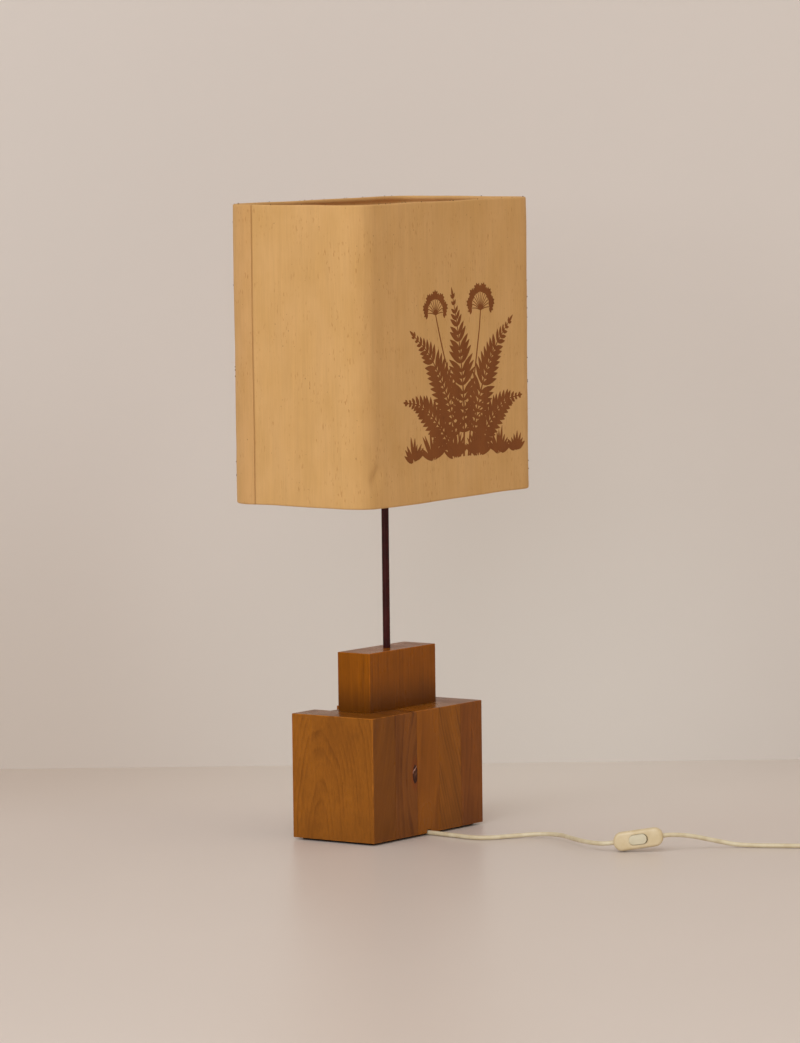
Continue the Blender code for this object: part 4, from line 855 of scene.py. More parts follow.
def tube(points: Sequence[Vector], radius: float | Sequence[float], sides: int = 16) -> BMesh:
    """A round tube swept along points, with the distances along and round it as its UV map.

    Args:
        points: its centre line.
        radius: one radius, or one for each point.
        sides: faces round it.

    Returns:
        The tube, closed at both ends.
    """
    radii = [radius] * len(points) if isinstance(radius, float) else list(radius)
    shape = bmesh.new()
    layer = shape.loops.layers.uv.new("UVMap")
    headings = [(points[min(k + 1, len(points) - 1)] - points[max(k - 1, 0)]).normalized()
                for k in range(len(points))]
    side = headings[0].orthogonal().normalized()
    frames = []
    for point, heading in zip(points, headings):
        side = (side - heading * side.dot(heading)).normalized()
        axes = Matrix((side, heading.cross(side), heading)).transposed().to_4x4()
        frames.append(Matrix.Translation(point) @ axes)
    placings = [frame @ Matrix.Scale(radius, 4) for frame, radius in zip(frames, radii)]
    verts = bmesh.ops.create_circle(shape, cap_ends=True, segments=sides, radius=1.0, matrix=placings[0])["verts"]
    edges = list(shape.edges)
    number: dict[BMVert, tuple[int, int]] = {}
    for row, placing in enumerate(placings):
        if row:
            grown = bmesh.ops.extrude_edge_only(shape, edges=edges)["geom"]
            verts = [item for item in grown if isinstance(item, BMVert)]
            edges = [item for item in grown if isinstance(item, BMEdge)]
            bmesh.ops.transform(shape, matrix=placing @ placings[row - 1].inverted(), verts=verts)
        inverse = placing.inverted()
        for vert in verts:
            flat = inverse @ vert.co
            number[vert] = (row, round(math.atan2(flat.y, flat.x) / math.tau * sides) % sides)
    bmesh.ops.edgeloop_fill(shape, edges=edges)
    walked = [0.0]
    for start, end in zip(points, points[1:]):
        walked.append(walked[-1] + (end - start).length)
    for face in shape.faces:
        places = [number[vert][1] for vert in face.verts]
        wraps = max(places) - min(places) > sides / 2
        for loop in face.loops:
            row, index = number[loop.vert]
            around = index + (sides if wraps and index < sides / 2 else 0)
            loop[layer].uv = (walked[row], around / sides * math.tau * radii[row])
    bmesh.ops.recalc_face_normals(shape, faces=shape.faces)
    return shape


@dataclass(frozen=True)
class Studio:
    """The camera that took the photograph, the pale floor and wall, and soft light from the left."""

    lens: float = 195.918
    place: Point = (-6.19730, -4.48930, 1.06689)
    right: Point = (0.58362812, -0.81192783, -0.01230564)
    up: Point = (0.07530014, 0.03902561, 0.99639695)
    forward: Point = (0.80852218, 0.58245189, -0.08391473)
    wall_distance: float = 8.375
    # centres of a painted shadow and of painted light on the floor and wall
    painted_shadow_patch: Point = (0.22, 0.95, 0.0)
    painted_light_patch: Point = (0.56, 0.20, 0.18)
    sight: Point = (0.81138, 0.58451, 0.0)
    aim: Point = (0.0, 0.0, 0.45)
    lights: tuple[tuple[str, Point, float, float, Point], ...] = (
        ("window", (-7.0, -1.8, 4.6), 8.0, 480.0, (0.92, 0.96, 1.0)),
        ("fill", (1.5, -6.0, 2.5), 4.0, 34.0, (1.0, 0.76, 0.50)),
    )
    sky: Colour = (1.0, 0.945, 0.875, 1.0)
    sky_strength: float = 0.58
    floor_colour: Colour = field(default_factory=lambda: shown(216, 204, 195))
    wall_colour: Colour = field(default_factory=lambda: shown(211, 202, 195))

    def camera(self) -> None:
        """Makes the camera, fitted to the lamp's edges in the photograph."""
        data = bpy.data.cameras.new("photo_camera")
        data.sensor_width = 36.0
        data.lens = self.lens
        data.clip_end = 60.0
        made = bpy.data.objects.new("photo_camera", data)
        back = tuple(-part for part in self.forward)
        axes = Matrix((self.right, self.up, back)).transposed().to_4x4()
        made.matrix_world = Matrix.Translation(self.place) @ axes
        bpy.context.scene.collection.objects.link(made)
        bpy.context.scene.camera = made

    def backdrop(self, title: str, place: Matrix, size: float, colour: Colour, rough: float,
                 specular: float) -> Object:
        """One pale sheet of the studio, seen through from behind."""
        shape = bmesh.new()
        bmesh.ops.create_grid(shape, x_segments=1, y_segments=1, size=size, matrix=place)
        data = bpy.data.meshes.new(title)
        shape.to_mesh(data)
        shape.free()
        made = bpy.data.objects.new(title, data)
        bpy.context.scene.collection.objects.link(made)
        shading = Shading(title)
        wiring = shading.wiring
        cloud = wiring.noise(shading.position, (0.8, 0.8, 0.8), 3.0)
        tone = wiring.mix(wiring.span(cloud, 0.3, 0.7), colour, tuple(part * 0.95 for part in colour[:3]) + (1.0,))
        # Painted shadow: a darker, warmer patch on the floor and the wall round one place.
        away = wiring.vector("LENGTH", wiring.vector("SUBTRACT", shading.position, self.painted_shadow_patch))
        tone = wiring.mix(wiring.span(away, 0.05, 0.75, 0.5, 0.0, soft=True), tone,
                          wiring.mix(1.0, tone, (0.83, 0.78, 0.72, 1.0), "MULTIPLY"))
        # Painted light: a brighter patch that lifts the lamp's shadow on the wall and the floor.
        away = wiring.vector("LENGTH", wiring.vector("SUBTRACT", shading.position, self.painted_light_patch))
        tone = wiring.mix(wiring.span(away, 0.10, 0.70, 1.0, 0.0, soft=True), tone,
                          wiring.mix(1.0, tone, (1.13, 1.17, 1.18, 1.0), "MULTIPLY"))
        shading.set(Base_Color=tone, Roughness=rough, Specular_IOR_Level=specular)
        clear = wiring.node("ShaderNodeBsdfTransparent")
        behind = wiring.node("ShaderNodeNewGeometry").outputs["Backfacing"]
        either = wiring.node("ShaderNodeMixShader", {0: behind, 1: shading.shader.outputs[0], 2: clear.outputs[0]})
        output = next(node for node in wiring.tree.nodes if node.type == "OUTPUT_MATERIAL")
        wiring.put(output.inputs["Surface"], either.outputs[0])
        data.materials.append(shading.material)
        return made

    def lamp(self, title: str, place: Point, size: float, power: float, colour: Point) -> None:
        """One soft square light that looks at the lamp."""
        data = bpy.data.lights.new(title, "AREA")
        data.shape = "SQUARE"
        data.size = size
        data.energy = power
        data.color = colour
        made = bpy.data.objects.new(title, data)
        made.rotation_euler = (Vector(self.aim) - Vector(place)).to_track_quat("-Z", "Y").to_euler()
        made.location = place
        bpy.context.scene.collection.objects.link(made)

    def build(self) -> None:
        """Makes the camera, the backdrop, the lights and the world."""
        self.camera()
        self.backdrop("floor", Matrix.Translation((0.0, 0.0, -0.0002)), 14.0, self.floor_colour, 0.34, 0.30)
        level = Vector(self.sight)
        spot = Vector((self.place[0], self.place[1], 0.0)) + level * self.wall_distance
        axes = Matrix((level.cross(WORLD_UP), WORLD_UP, -level)).transposed().to_4x4()
        self.backdrop("wall", Matrix.Translation(spot) @ axes, 14.0, self.wall_colour, 0.9, 0.1)
        for light in self.lights:
            self.lamp(*light)
        world = bpy.data.worlds.new("studio")
        world.use_nodes = True
        background = world.node_tree.nodes["Background"]
        background.inputs["Color"].default_value = self.sky
        background.inputs["Strength"].default_value = self.sky_strength
        bpy.context.scene.world = world
        bpy.context.scene.view_settings.view_transform = "Standard"


@dataclass(frozen=True)
class WoodenBase:
    """The five boards, the upper block, the felt and what closes the wiring hollow."""

    length: float = 0.255
    width: float = 0.134
    pitch: float = 0.051
    flute: float = 0.027
    inset: float = 0.009
    felt_top: float = 0.0025
    mouth: float = 0.0045
    mouth_back: float = -0.046
    screw_head: float = 0.0029
    plate_screws: tuple[Pair, ...] = ((-0.040, -0.051), (-0.040, 0.027), (0.040, -0.051),
                                                     (0.040, 0.027))

    def felt_outline(self) -> list[Pair]:
        """The felt's outline, with the cord's mouth and the two flutes."""
        half_x, half_y = self.length / 2 - self.inset, self.width / 2 - self.inset
        near, far = 0.5 * self.pitch - self.inset, 1.5 * self.pitch + self.inset
        right = [(self.mouth, self.mouth_back), (self.mouth, -half_y), (half_x, -half_y), (half_x, half_y),
                 (far, half_y), (far, half_y - self.flute), (near, half_y - self.flute), (near, half_y)]
        return right + [(-x, y) for x, y in reversed(right)]

    def felt(self) -> None:
        """The pad, with soft upper and lower edges and sides that are cut a little unevenly."""
        shape = plate(self.felt_outline(), 0.0, self.felt_top)
        corners = [edge for edge in shape.edges if upright(edge)]
        eased(shape, corners, 0.0012, 3)
        rims = [edge for edge in shape.edges if not upright(edge)
                and any(abs(face.normal.z) < 0.5 for face in edge.link_faces)]
        eased(shape, rims, 0.0007, 2)
        long = [edge for edge in shape.edges if edge.calc_length() > 0.008]
        bmesh.ops.subdivide_edges(shape, edges=long, cuts=12, use_grid_fill=True)
        for vert in shape.verts:
            shake = noise.noise_vector(vert.co * 160.0) * 0.00035
            vert.co += Vector((shake.x, shake.y, 0.0))
        felt = mesh_piece("felt_pad", shape, FELT, Body.LAMP, ["base_felt"], 60.0)

    def countersunk(self, head: float, height: float, length: float) -> BMesh:
        """A wood screw that points up, with a crossed head and a thread on its shank."""
        shank = head * 0.46
        core = shank * 0.8
        body = turned([(0.0, length), (shank * 0.35, length), (core, length * 0.84), (core, height * 2),
                       (core, height), (head, 0.00025), (head, 0.0), (head * 0.6, -0.0001), (0.0, -0.0001)], 32)
        cutters = []
        for angle in (0.0, math.pi / 2):
            cross = rounded_block(head * 1.1, head * 0.26, -head * 0.3, head * 0.28, head * 0.05, steps=2)
            cutters.append(placed(cross, Matrix.Rotation(angle + 0.4, 4, "Z")))
        thread = thread_shape(core, shank * 0.2, 0.0013, height * 1.6, 6.0)
        return joined(carved(body, cutters), thread)

    def build(self, nodes: dict[str, Object]) -> None:
        """Dresses the boards, and makes the felt, the screws and the saddle."""
        for number, wood in enumerate(BOARD_WOODS, 1):
            low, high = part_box("base_board_%d" % number)
            low.x, high.x = -self.length / 2, self.length / 2
            dress(nodes["base_board_%d" % number], wood.material(low, high))
        dress(nodes["upper_block"], UPPER_WOOD.material(*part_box("upper_block")))
        for number in (1, 2):
            dress(nodes["block_dowel_%d" % number], DOWEL_WOOD.material())
        dress(nodes["base_plate"], HARDBOARD.material())
        dress(nodes["cord_saddle"], ZINC.material())
        self.felt()
        for number, (x, y) in enumerate(self.plate_screws, 1):
            name = "base_plate_screw_%d" % number
            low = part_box(name)[0]
            shape = placed(self.countersunk(self.screw_head, 0.0016, 0.014), Matrix.Translation((x, y, low.z)))
            mesh_piece("plate_screw_%d" % number, shape, ZINC, Body.LAMP, [name])
        for number in (1, 2):
            name = "cord_saddle_screw_%d" % number
            low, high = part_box(name)
            centre = (low + high) / 2
            shape = self.countersunk(0.0023, 0.0010, high.z - low.z)
            mesh_piece("saddle_screw_%d" % number, placed(shape, Matrix.Translation((centre.x, centre.y, low.z))),
                       ZINC, Body.LAMP, [name])


@dataclass(frozen=True)
class Stem:
    """The lacquered tube with the nuts and the washer on it."""

    radius: float = 0.005
    bore: float = 0.004
    bottom: float = 0.044
    top: float = 0.4885
    nut: float = 0.008

    def hexagon(self, bottom: float, top: float) -> BMesh:
        """A chamfered six-sided nut with a plain bore."""
        shape = bmesh.new()
        bmesh.ops.create_cone(shape, cap_ends=True, segments=6, radius1=self.nut, radius2=self.nut,
                              depth=top - bottom)
        bmesh.ops.translate(shape, vec=(0.0, 0.0, (top + bottom) / 2), verts=shape.verts)
        level = [edge for edge in shape.edges if not upright(edge)]
        eased(shape, level, 0.0005, 2)
        clear, over, under = self.radius + 0.0002, top + 0.001, bottom - 0.001
        bore = turned([(0.0, over), (clear, over), (clear, under), (0.0, under)], 48)
        return carved(shape, [bore])

    def build(self) -> None:
        """Makes the tube, the nuts and the washer."""
        ease = 0.0003
        bore, radius, low, high = self.bore, self.radius, self.bottom, self.top
        outline = [(bore + ease, high), (radius - ease, high), (radius, high - ease), (radius, 0.40),
                   (radius, 0.30), (radius, low + ease), (radius - ease, low), (bore, low), (bore, high - ease)]
        mesh_piece("stem", turned(outline, 48, True), LACQUER, Body.LAMP, ["stem_tube"])
        for name in ("stem_nut", "holder_lock_nut"):
            low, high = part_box(name)
            mesh_piece(name + "_cut", self.hexagon(low.z, high.z), ZINC, Body.LAMP, [name], 25.0)
        low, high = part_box("stem_washer")
        ring = [(0.0053, high.z), (0.0108, high.z), (high.x, high.z - 0.0003), (high.x, low.z + 0.0003),
                (0.0108, low.z), (0.0053, low.z)]
        mesh_piece("washer", turned(ring, 64, True), ZINC, Body.LAMP, ["stem_washer"])


@dataclass(frozen=True)
class Holder:
    """The screw holder for the bulb, and the ring that clamps the shade to it."""

    bottom: float = 0.4785
    cap_top: float = 0.5080
    cap_radius: float = 0.0190
    flange: Point = (0.5140, 0.5165, 0.0230)
    sleeve_top: float = 0.5450
    sleeve_radius: float = 0.0195
    sleeve_bore: float = 0.0180
    ring_bottom: float = 0.5193
    ring_height: float = 0.0065
    ring_radius: float = 0.0250
    ring_bore: float = 0.0203
    grips: int = 36

    def clamp_ring(self) -> BMesh:
        """The ring with finger grips all round."""
        low, bore, reach = self.ring_bottom, self.ring_bore, self.ring_radius
        high = low + self.ring_height
        outline = [(bore, high), (reach - 0.0016, high), (reach - 0.0006, high - 0.0004), (reach, high - 0.0014),
                   (reach, low + 0.0004), (reach - 0.0004, low), (bore, low)]
        body = turned(outline, 144, True)
        cutter = bmesh.new()
        for number in range(self.grips):
            turn = Matrix.Rotation(math.tau * number / self.grips, 4, "Z")
            side = Matrix.Translation((self.ring_radius + 0.0004, 0.0, self.ring_bottom + self.ring_height / 2))
            bmesh.ops.create_cone(cutter, cap_ends=True, segments=12, radius1=0.0009, radius2=0.0009,
                                  depth=self.ring_height * 2, matrix=turn @ side)
        return carved(body, [cutter])

    def build(self, nodes: dict[str, Object]) -> None:
        """Makes the moulded pieces and dresses the small metal ones."""
        cap = [(0.0053, self.bottom), (0.0079, self.bottom), (0.0085, self.bottom + 0.0006), (0.0085, 0.4878),
               (0.0092, 0.4885), (0.0150, 0.4903), (0.0174, 0.4925), (0.0186, 0.4960), (self.cap_radius, 0.5010),
               (self.cap_radius, 0.5072), (0.0187, self.cap_top), (0.0175, self.cap_top), (0.0175, 0.5020),
               (0.0163, 0.4957), (0.0145, 0.4921), (0.0053, 0.4900)]
        mesh_piece("holder_cap_moulding", turned(cap, 72, True), BAKELITE, Body.LAMP, ["holder_cap"], 30.0)
        low, high, reach = self.flange
        bore, side, top, foot = self.sleeve_bore, self.sleeve_radius, self.sleeve_top, self.cap_top + 0.0003
        sleeve = [(bore, top), (side - 0.0004, top), (side - 0.0006, top - 0.0004), (side - 0.0006, high),
                  (reach - 0.0005, high), (reach, high - 0.0005), (reach, low + 0.0005), (reach - 0.0005, low),
                  (side, low), (side, foot + 0.0002), (side - 0.0004, foot), (bore, foot)]
        body = turned(sleeve, 72, True)
        thread = thread_shape(self.sleeve_radius - 0.0006, 0.0006, 0.0028, 0.5190, 8.5)
        mesh_piece("holder_sleeve_moulding", joined(body, thread), BAKELITE, Body.LAMP, ["holder_sleeve"], 30.0)
        mesh_piece("clamp_ring_moulding", self.clamp_ring(), BAKELITE, Body.CLAMP_RING, ["shade_clamp_ring"], 30.0)
        dress(nodes["holder_insert"], CERAMIC.material())
        for name in ("holder_thread_shell", "holder_centre_contact", "holder_terminal_screw_1",
                     "holder_terminal_screw_2"):
            dress(nodes[name], BRASS.material())
        for name in ("holder_wire_1", "holder_wire_2"):
            dress(nodes[name], CORD_JACKET.material())


@dataclass(frozen=True)
class LightBulb:
    """An opal bulb with a 27 mm screw cap."""

    radius: float = 0.030
    widest: float = 0.5960
    wall: float = 0.0010
    cap_bottom: float = 0.5190
    cap_top: float = 0.5440
    cap_radius: float = 0.0131

    def build(self) -> None:
        """Makes the glass, the cap with its thread, the insulator and the contact."""
        steps = 20
        outer = [(self.radius * math.sin(math.pi / 2 * k / steps),
                  self.widest + self.radius * math.cos(math.pi / 2 * k / steps)) for k in range(steps + 1)]
        neck = [(0.0296, 0.5908), (0.0285, 0.5860), (0.0268, 0.5800), (0.0245, 0.5740), (0.0217, 0.5680),
                (0.0190, 0.5620), (0.0169, 0.5570), (0.0155, 0.5520), (0.0150, 0.5475), (0.0150, 0.5443)]
        outer += neck
        inner = [(max(radius - self.wall, 0.0), height - (self.wall if radius < 0.012 and height > 0.6 else 0.0))
                 for radius, height in outer]
        mesh_piece("bulb_envelope", turned(outer + inner[::-1], 64), OPAL, Body.BULB, ["bulb_glass"], 50.0)
        top, foot = self.cap_top, self.cap_bottom
        core = self.cap_radius - 0.0008
        cap = [(0.0, top), (0.0139, top), (0.0142, top - 0.0004), (0.0142, top - 0.0010), (0.0136, top - 0.0018),
               (core, top - 0.0030), (core, foot + 0.0046), (0.0118, foot + 0.0030), (0.0095, foot + 0.0004),
               (0.0088, foot), (0.0060, foot), (0.0060, foot + 0.0012), (0.0, foot + 0.0012)]
        thread = thread_shape(core, 0.0008, 0.0036, foot + 0.0056, 4.2)
        mesh_piece("bulb_screw_cap", joined(turned(cap, 64), thread), ZINC, Body.BULB, ["bulb_cap"], 30.0)
        tip = [(0.0, foot + 0.0009), (0.0056, foot + 0.0009), (0.0057, foot - 0.0002), (0.0046, foot - 0.0007),
               (0.0035, foot - 0.0010), (0.0020, foot - 0.0012), (0.0, foot - 0.0012)]
        mesh_piece("bulb_end_contact", turned(tip, 40), BRASS, Body.BULB, ["bulb_contact"], 30.0)


@dataclass(frozen=True)
class ShadeOutline:
    """The rounded rectangle that the shade's cloth follows, walked from its seam."""

    length: float = 0.420
    width: float = 0.222
    corner: float = 0.040
    seam: float = 0.0607

    @property
    def around(self) -> float:
        """Distance once round."""
        return 2 * (self.length + self.width) - 8 * self.corner + math.tau * self.corner

    def at(self, run: float) -> tuple[Vector, Vector]:
        """The outline's point and outward direction at a distance from the seam.

        Args:
            run: the distance, first towards +Y, and then round by +X and -Y.

        Returns:
            The point and the direction, both level.
        """
        half_x, half_y = self.length / 2 - self.corner, self.width / 2 - self.corner
        bend = math.pi / 2 * self.corner
        run = run % self.around
        stretches = (
            (half_y - self.seam, Vector((-self.length / 2, self.seam, 0.0)), Vector((0.0, 1.0, 0.0)), None),
            (bend, Vector((-half_x, half_y, 0.0)), None, math.pi),
            (2 * half_x, Vector((-half_x, self.width / 2, 0.0)), Vector((1.0, 0.0, 0.0)), None),
            (bend, Vector((half_x, half_y, 0.0)), None, math.pi / 2),
            (2 * half_y, Vector((self.length / 2, half_y, 0.0)), Vector((0.0, -1.0, 0.0)), None),
            (bend, Vector((half_x, -half_y, 0.0)), None, 0.0),
            (2 * half_x, Vector((half_x, -self.width / 2, 0.0)), Vector((-1.0, 0.0, 0.0)), None),
            (bend, Vector((-half_x, -half_y, 0.0)), None, -math.pi / 2),
            (half_y + self.seam + MERGE, Vector((-self.length / 2, -half_y, 0.0)), Vector((0.0, 1.0, 0.0)), None),
        )
        for size, start, heading, angle in stretches:
            if run <= size:
                break
            run -= size
        if heading is not None:
            return start + heading * run, Vector((-heading.y, heading.x, 0.0))
        turn = angle - run / self.corner
        outward = Vector((math.cos(turn), math.sin(turn), 0.0))
        return start + outward * self.corner, outward

    @property
    def near_corner(self) -> float:
        """Distance from the seam to the middle of the corner between -Y and -X."""
        return self.around - self.seam - self.width / 2 + self.corner - math.pi / 4 * self.corner

    def run_at_front(self, x: float) -> float:
        """Distance from the seam to a place on the flat front, which faces -Y."""
        half_x, half_y = self.length / 2 - self.corner, self.width / 2 - self.corner
        before = half_y - self.seam + 3 * math.pi / 2 * self.corner + 2 * half_x + 2 * half_y
        return before + half_x - x


@dataclass(frozen=True)
class ShadeCover:
    """One sheet of cloth on a stiff backing, lapped at its seam and rolled over the frame's wires."""

    outline: ShadeOutline = field(default_factory=ShadeOutline)
    bottom: float = 0.4585
    top: float = 0.8570
    roll: float = 0.00305
    hem: float = 0.014
    hem_inset: float = 0.0018
    cloth: float = 0.0005
    backing_inset: float = 0.0006
    backing: float = 0.0005
    overlap: float = 0.012
    lap: float = 0.0009
    crease: tuple[float, ...] = (-0.0032, -0.0022, -0.0016, -0.0011, -0.0006, -0.0001, 0.0006, 0.0020)
    column: float = 0.004
    row: float = 0.0055
    slit: float = 0.0045
    waves: Pair = (0.0011, 0.00022)
    dent: Pair = (0.028, 0.505)
    dent_size: Pair = (0.0120, 0.0155)
    dent_slant: Pair = (0.8, 1.28)
    dent_crease: float = 0.13
    dent_depth: float = 0.0046
    ripple: float = 0.0007
    sag: float = 0.0032
    sag_place: Pair = (0.084, 0.110)
    hem_squareness: float = 0.72
    pleat: float = 0.00045

    def relief(self, run: float, height: float) -> float:
        """How far the sheet stands out from the true outline at a place: soft waves and a dent."""
        point, _ = self.outline.at(run)
        point.z = height
        inside = min(height - self.bottom, self.top - height)
        calm = min(1.0, max(0.0, (inside - 0.004) / 0.030))
        broad = noise.noise(point * 9.0) * self.waves[0]
        small = noise.noise(point * 46.0) * self.waves[1]
        left = (run - self.outline.near_corner + self.dent[0]) / self.dent_size[0]
        up = (height - self.dent[1]) / self.dent_size[1]
        slant, scale = self.dent_slant
        fold, reach = (up + slant * left) / scale, (slant * up - left) / scale
        dent = math.exp(-fold * fold - reach ** 4) / (1.0 + math.exp(min(40.0, fold / self.dent_crease)))
        firm = min(1.0, max(0.0, (inside - 0.003) / 0.010))
        return calm * (broad + small) - firm * self.dent_depth * dent

    def edge_lift(self, run: float, height: float) -> float:
        """The slight waves of the top and bottom edges."""
        point, _ = self.outline.at(run)
        share = (height - self.bottom) / (self.top - self.bottom)
        wave = noise.noise(Vector((point.x * 14.0, point.y * 14.0, 3.7 if share > 0.5 else 9.1))) * self.ripple
        apart = (run - self.outline.near_corner + self.sag_place[0]) / self.sag_place[1]
        sag = 0.0 if share > 0.5 else self.sag * math.exp(-apart * apart)
        return (wave - sag) * abs(2 * share - 1) ** 6

    def profile(self) -> list[Point]:
        """Inset, height and distance along the cloth, from the upper hem's edge to the lower one's."""
        turns = [(math.cos(math.pi * k / 14), math.sin(math.pi * k / 14)) for k in range(15)]
        roll, inner, power = self.roll, self.hem_inset, self.hem_squareness
        arc = [(roll - roll * math.copysign(abs(across) ** power, across), roll * abs(up) ** power - roll)
               for across, up in turns]
        hem = [(inner, -self.hem), (inner, -0.0115), (inner, -0.0092), (inner + 0.0006, -0.0078),
               (inner + 0.0021, -0.0062), (2 * roll - 0.0004, -0.0046)]
        upper = hem + arc[::-1]
        rows = round((self.top - self.bottom - 2 * self.roll) / self.row)
        step = (self.top - self.bottom - 2 * self.roll) / rows
        points = [(inset, self.top + rise) for inset, rise in upper]
        points += [(0.0, self.top - self.roll - step * k) for k in range(1, rows)]
        points += [(inset, self.bottom - rise) for inset, rise in reversed(upper)]
        result, walked = [], 0.0
        for index, (inset, height) in enumerate(points):
            if index:
                walked += math.dist((inset, height), points[index - 1])
            result.append((inset, height, walked))
        return result

    def sheet(self, stations: Sequence[Point], extra_inset: float, start: float,
              end: float, lapped: bool) -> BMesh:
        """A flat grid wrapped round the shade, with the flat cut as its UV map.

        Args:
            stations: inset, height and distance along the cloth of each row.
            extra_inset: how much further in the whole sheet lies.
            start: distance from the seam at which the sheet starts.
            end: distance at which it ends.
            lapped: whether its first stretch lies on its last.

        Returns:
            The sheet, open and one face thick.
        """
        runs = [start + (end - start) * k / round((end - start) / self.column)
                for k in range(round((end - start) / self.column) + 1)]
        if lapped:
            runs = sorted(runs + [self.outline.around + step for step in self.crease])
        shape = bmesh.new()
        layer = shape.loops.layers.uv.new("UVMap")
        bmesh.ops.create_grid(shape, x_segments=len(runs) - 1, y_segments=len(stations) - 1, size=0.5)
        flat: dict[BMVert, Pair] = {}
        for vert in shape.verts:
            run = runs[round((vert.co.x + 0.5) * (len(runs) - 1))]
            row = len(stations) - 1 - round((vert.co.y + 0.5) * (len(stations) - 1))
            inset, height, along = stations[row]
            flat[vert] = (run, -along)
            point, outward = self.outline.at(run)
            rise = self.relief(run, height)
            if lapped and run < self.overlap + 0.012:
                share = min(1.0, (self.overlap + 0.012 - run) / 0.012)
                rise += self.lap * share * share * (3 - 2 * share)
            apart = (run - self.outline.around + 0.0006) / 0.0009
            rise -= 0.0004 * math.exp(-apart * apart) if lapped else 0.0
            turned_in = min(1.0, max(0.0, inset / self.roll - 1.0))
            corner = abs(outward.x * outward.y) * 2
            pleat = self.pleat * corner * turned_in * math.sin(run * 1900.0)
            place = point - outward * (inset + extra_inset + pleat - rise)
            vert.co = (place.x, place.y, height + self.edge_lift(run, height))
        return mapped(shape, layer, flat)

    @staticmethod
    def thickened(shape: BMesh, wall: float) -> BMesh:
        """Gives a sheet its thickness, on the inner side."""
        shape.normal_update()
        largest = max(shape.faces, key=lambda face: face.calc_area())
        if largest.normal.to_2d().dot(largest.calc_center_median().to_2d()) < 0:
            bmesh.ops.reverse_faces(shape, faces=shape.faces)
        shape.normal_update()
        bmesh.ops.solidify(shape, geom=shape.faces[:], thickness=wall)
        return shape

    def make_cloth(self) -> Object:
        """The cloth with its rolled hems, slit where the frame's arms pass."""
        stations = self.profile()
        start, end = 0.0, self.outline.around + self.overlap
        shape = self.sheet(stations, 0.0, start, end, True)
        low = self.bottom + 0.0011
        slits = []
        for face in shape.faces:
            centre = face.calc_center_median()
            inner = min(self.outline.length / 2 - abs(centre.x), self.outline.width / 2 - abs(centre.y))
            near = min(abs(centre.x), abs(centre.y))
            if near < self.slit and inner > 0.0016 and low < centre.z < self.bottom + self.hem + 0.001:
                slits.append(face)
        bmesh.ops.delete(shape, geom=slits, context="FACES")
        shape = self.thickened(shape, self.cloth)
        made = mesh_piece("shade_cloth", shape, SHADE_CLOTH, Body.SHADE, ["shade_cover"], 60.0)
        return made

    def make_backing(self) -> Object:
        """The stiff sheet that the cloth is laid on, seen on the inside, its colour carrying painted light that
        shines through the cloth.
        """
        low, high = self.bottom + 0.0015, self.top - 0.0015
        rows = round((high - low) / self.row)
        stations = [(0.0, high - (high - low) * k / rows, (high - low) * k / rows) for k in range(rows + 1)]
        shape = self.sheet(stations, self.backing_inset, 0.0005, self.outline.around - 0.0005, False)
        shape = self.thickened(shape, self.backing)
        made = mesh_piece("shade_backing", shape, GLOWING_BACKING, Body.SHADE, ["shade_cover"], 60.0)
        return made

    def on_front(self, shape: BMesh, proud: Callable[[BMVert], float]) -> BMesh:
        """Lays a flat drawing in X and Z on the cloth's front, with the cloth's own UV map."""
        layer = shape.loops.layers.uv.new("UVMap")
        flat: dict[BMVert, Pair] = {}
        for vert in shape.verts:
            run = self.outline.run_at_front(vert.co.x)
            height = vert.co.z
            flat[vert] = (run, height - self.top)
            rise = self.relief(run, height) + proud(vert)
            vert.co.y = -self.outline.width / 2 - rise
        return mapped(shape, layer, flat)

    def build(self) -> Object:
        """Makes the cloth and its backing."""
        self.make_backing()
        return self.make_cloth()


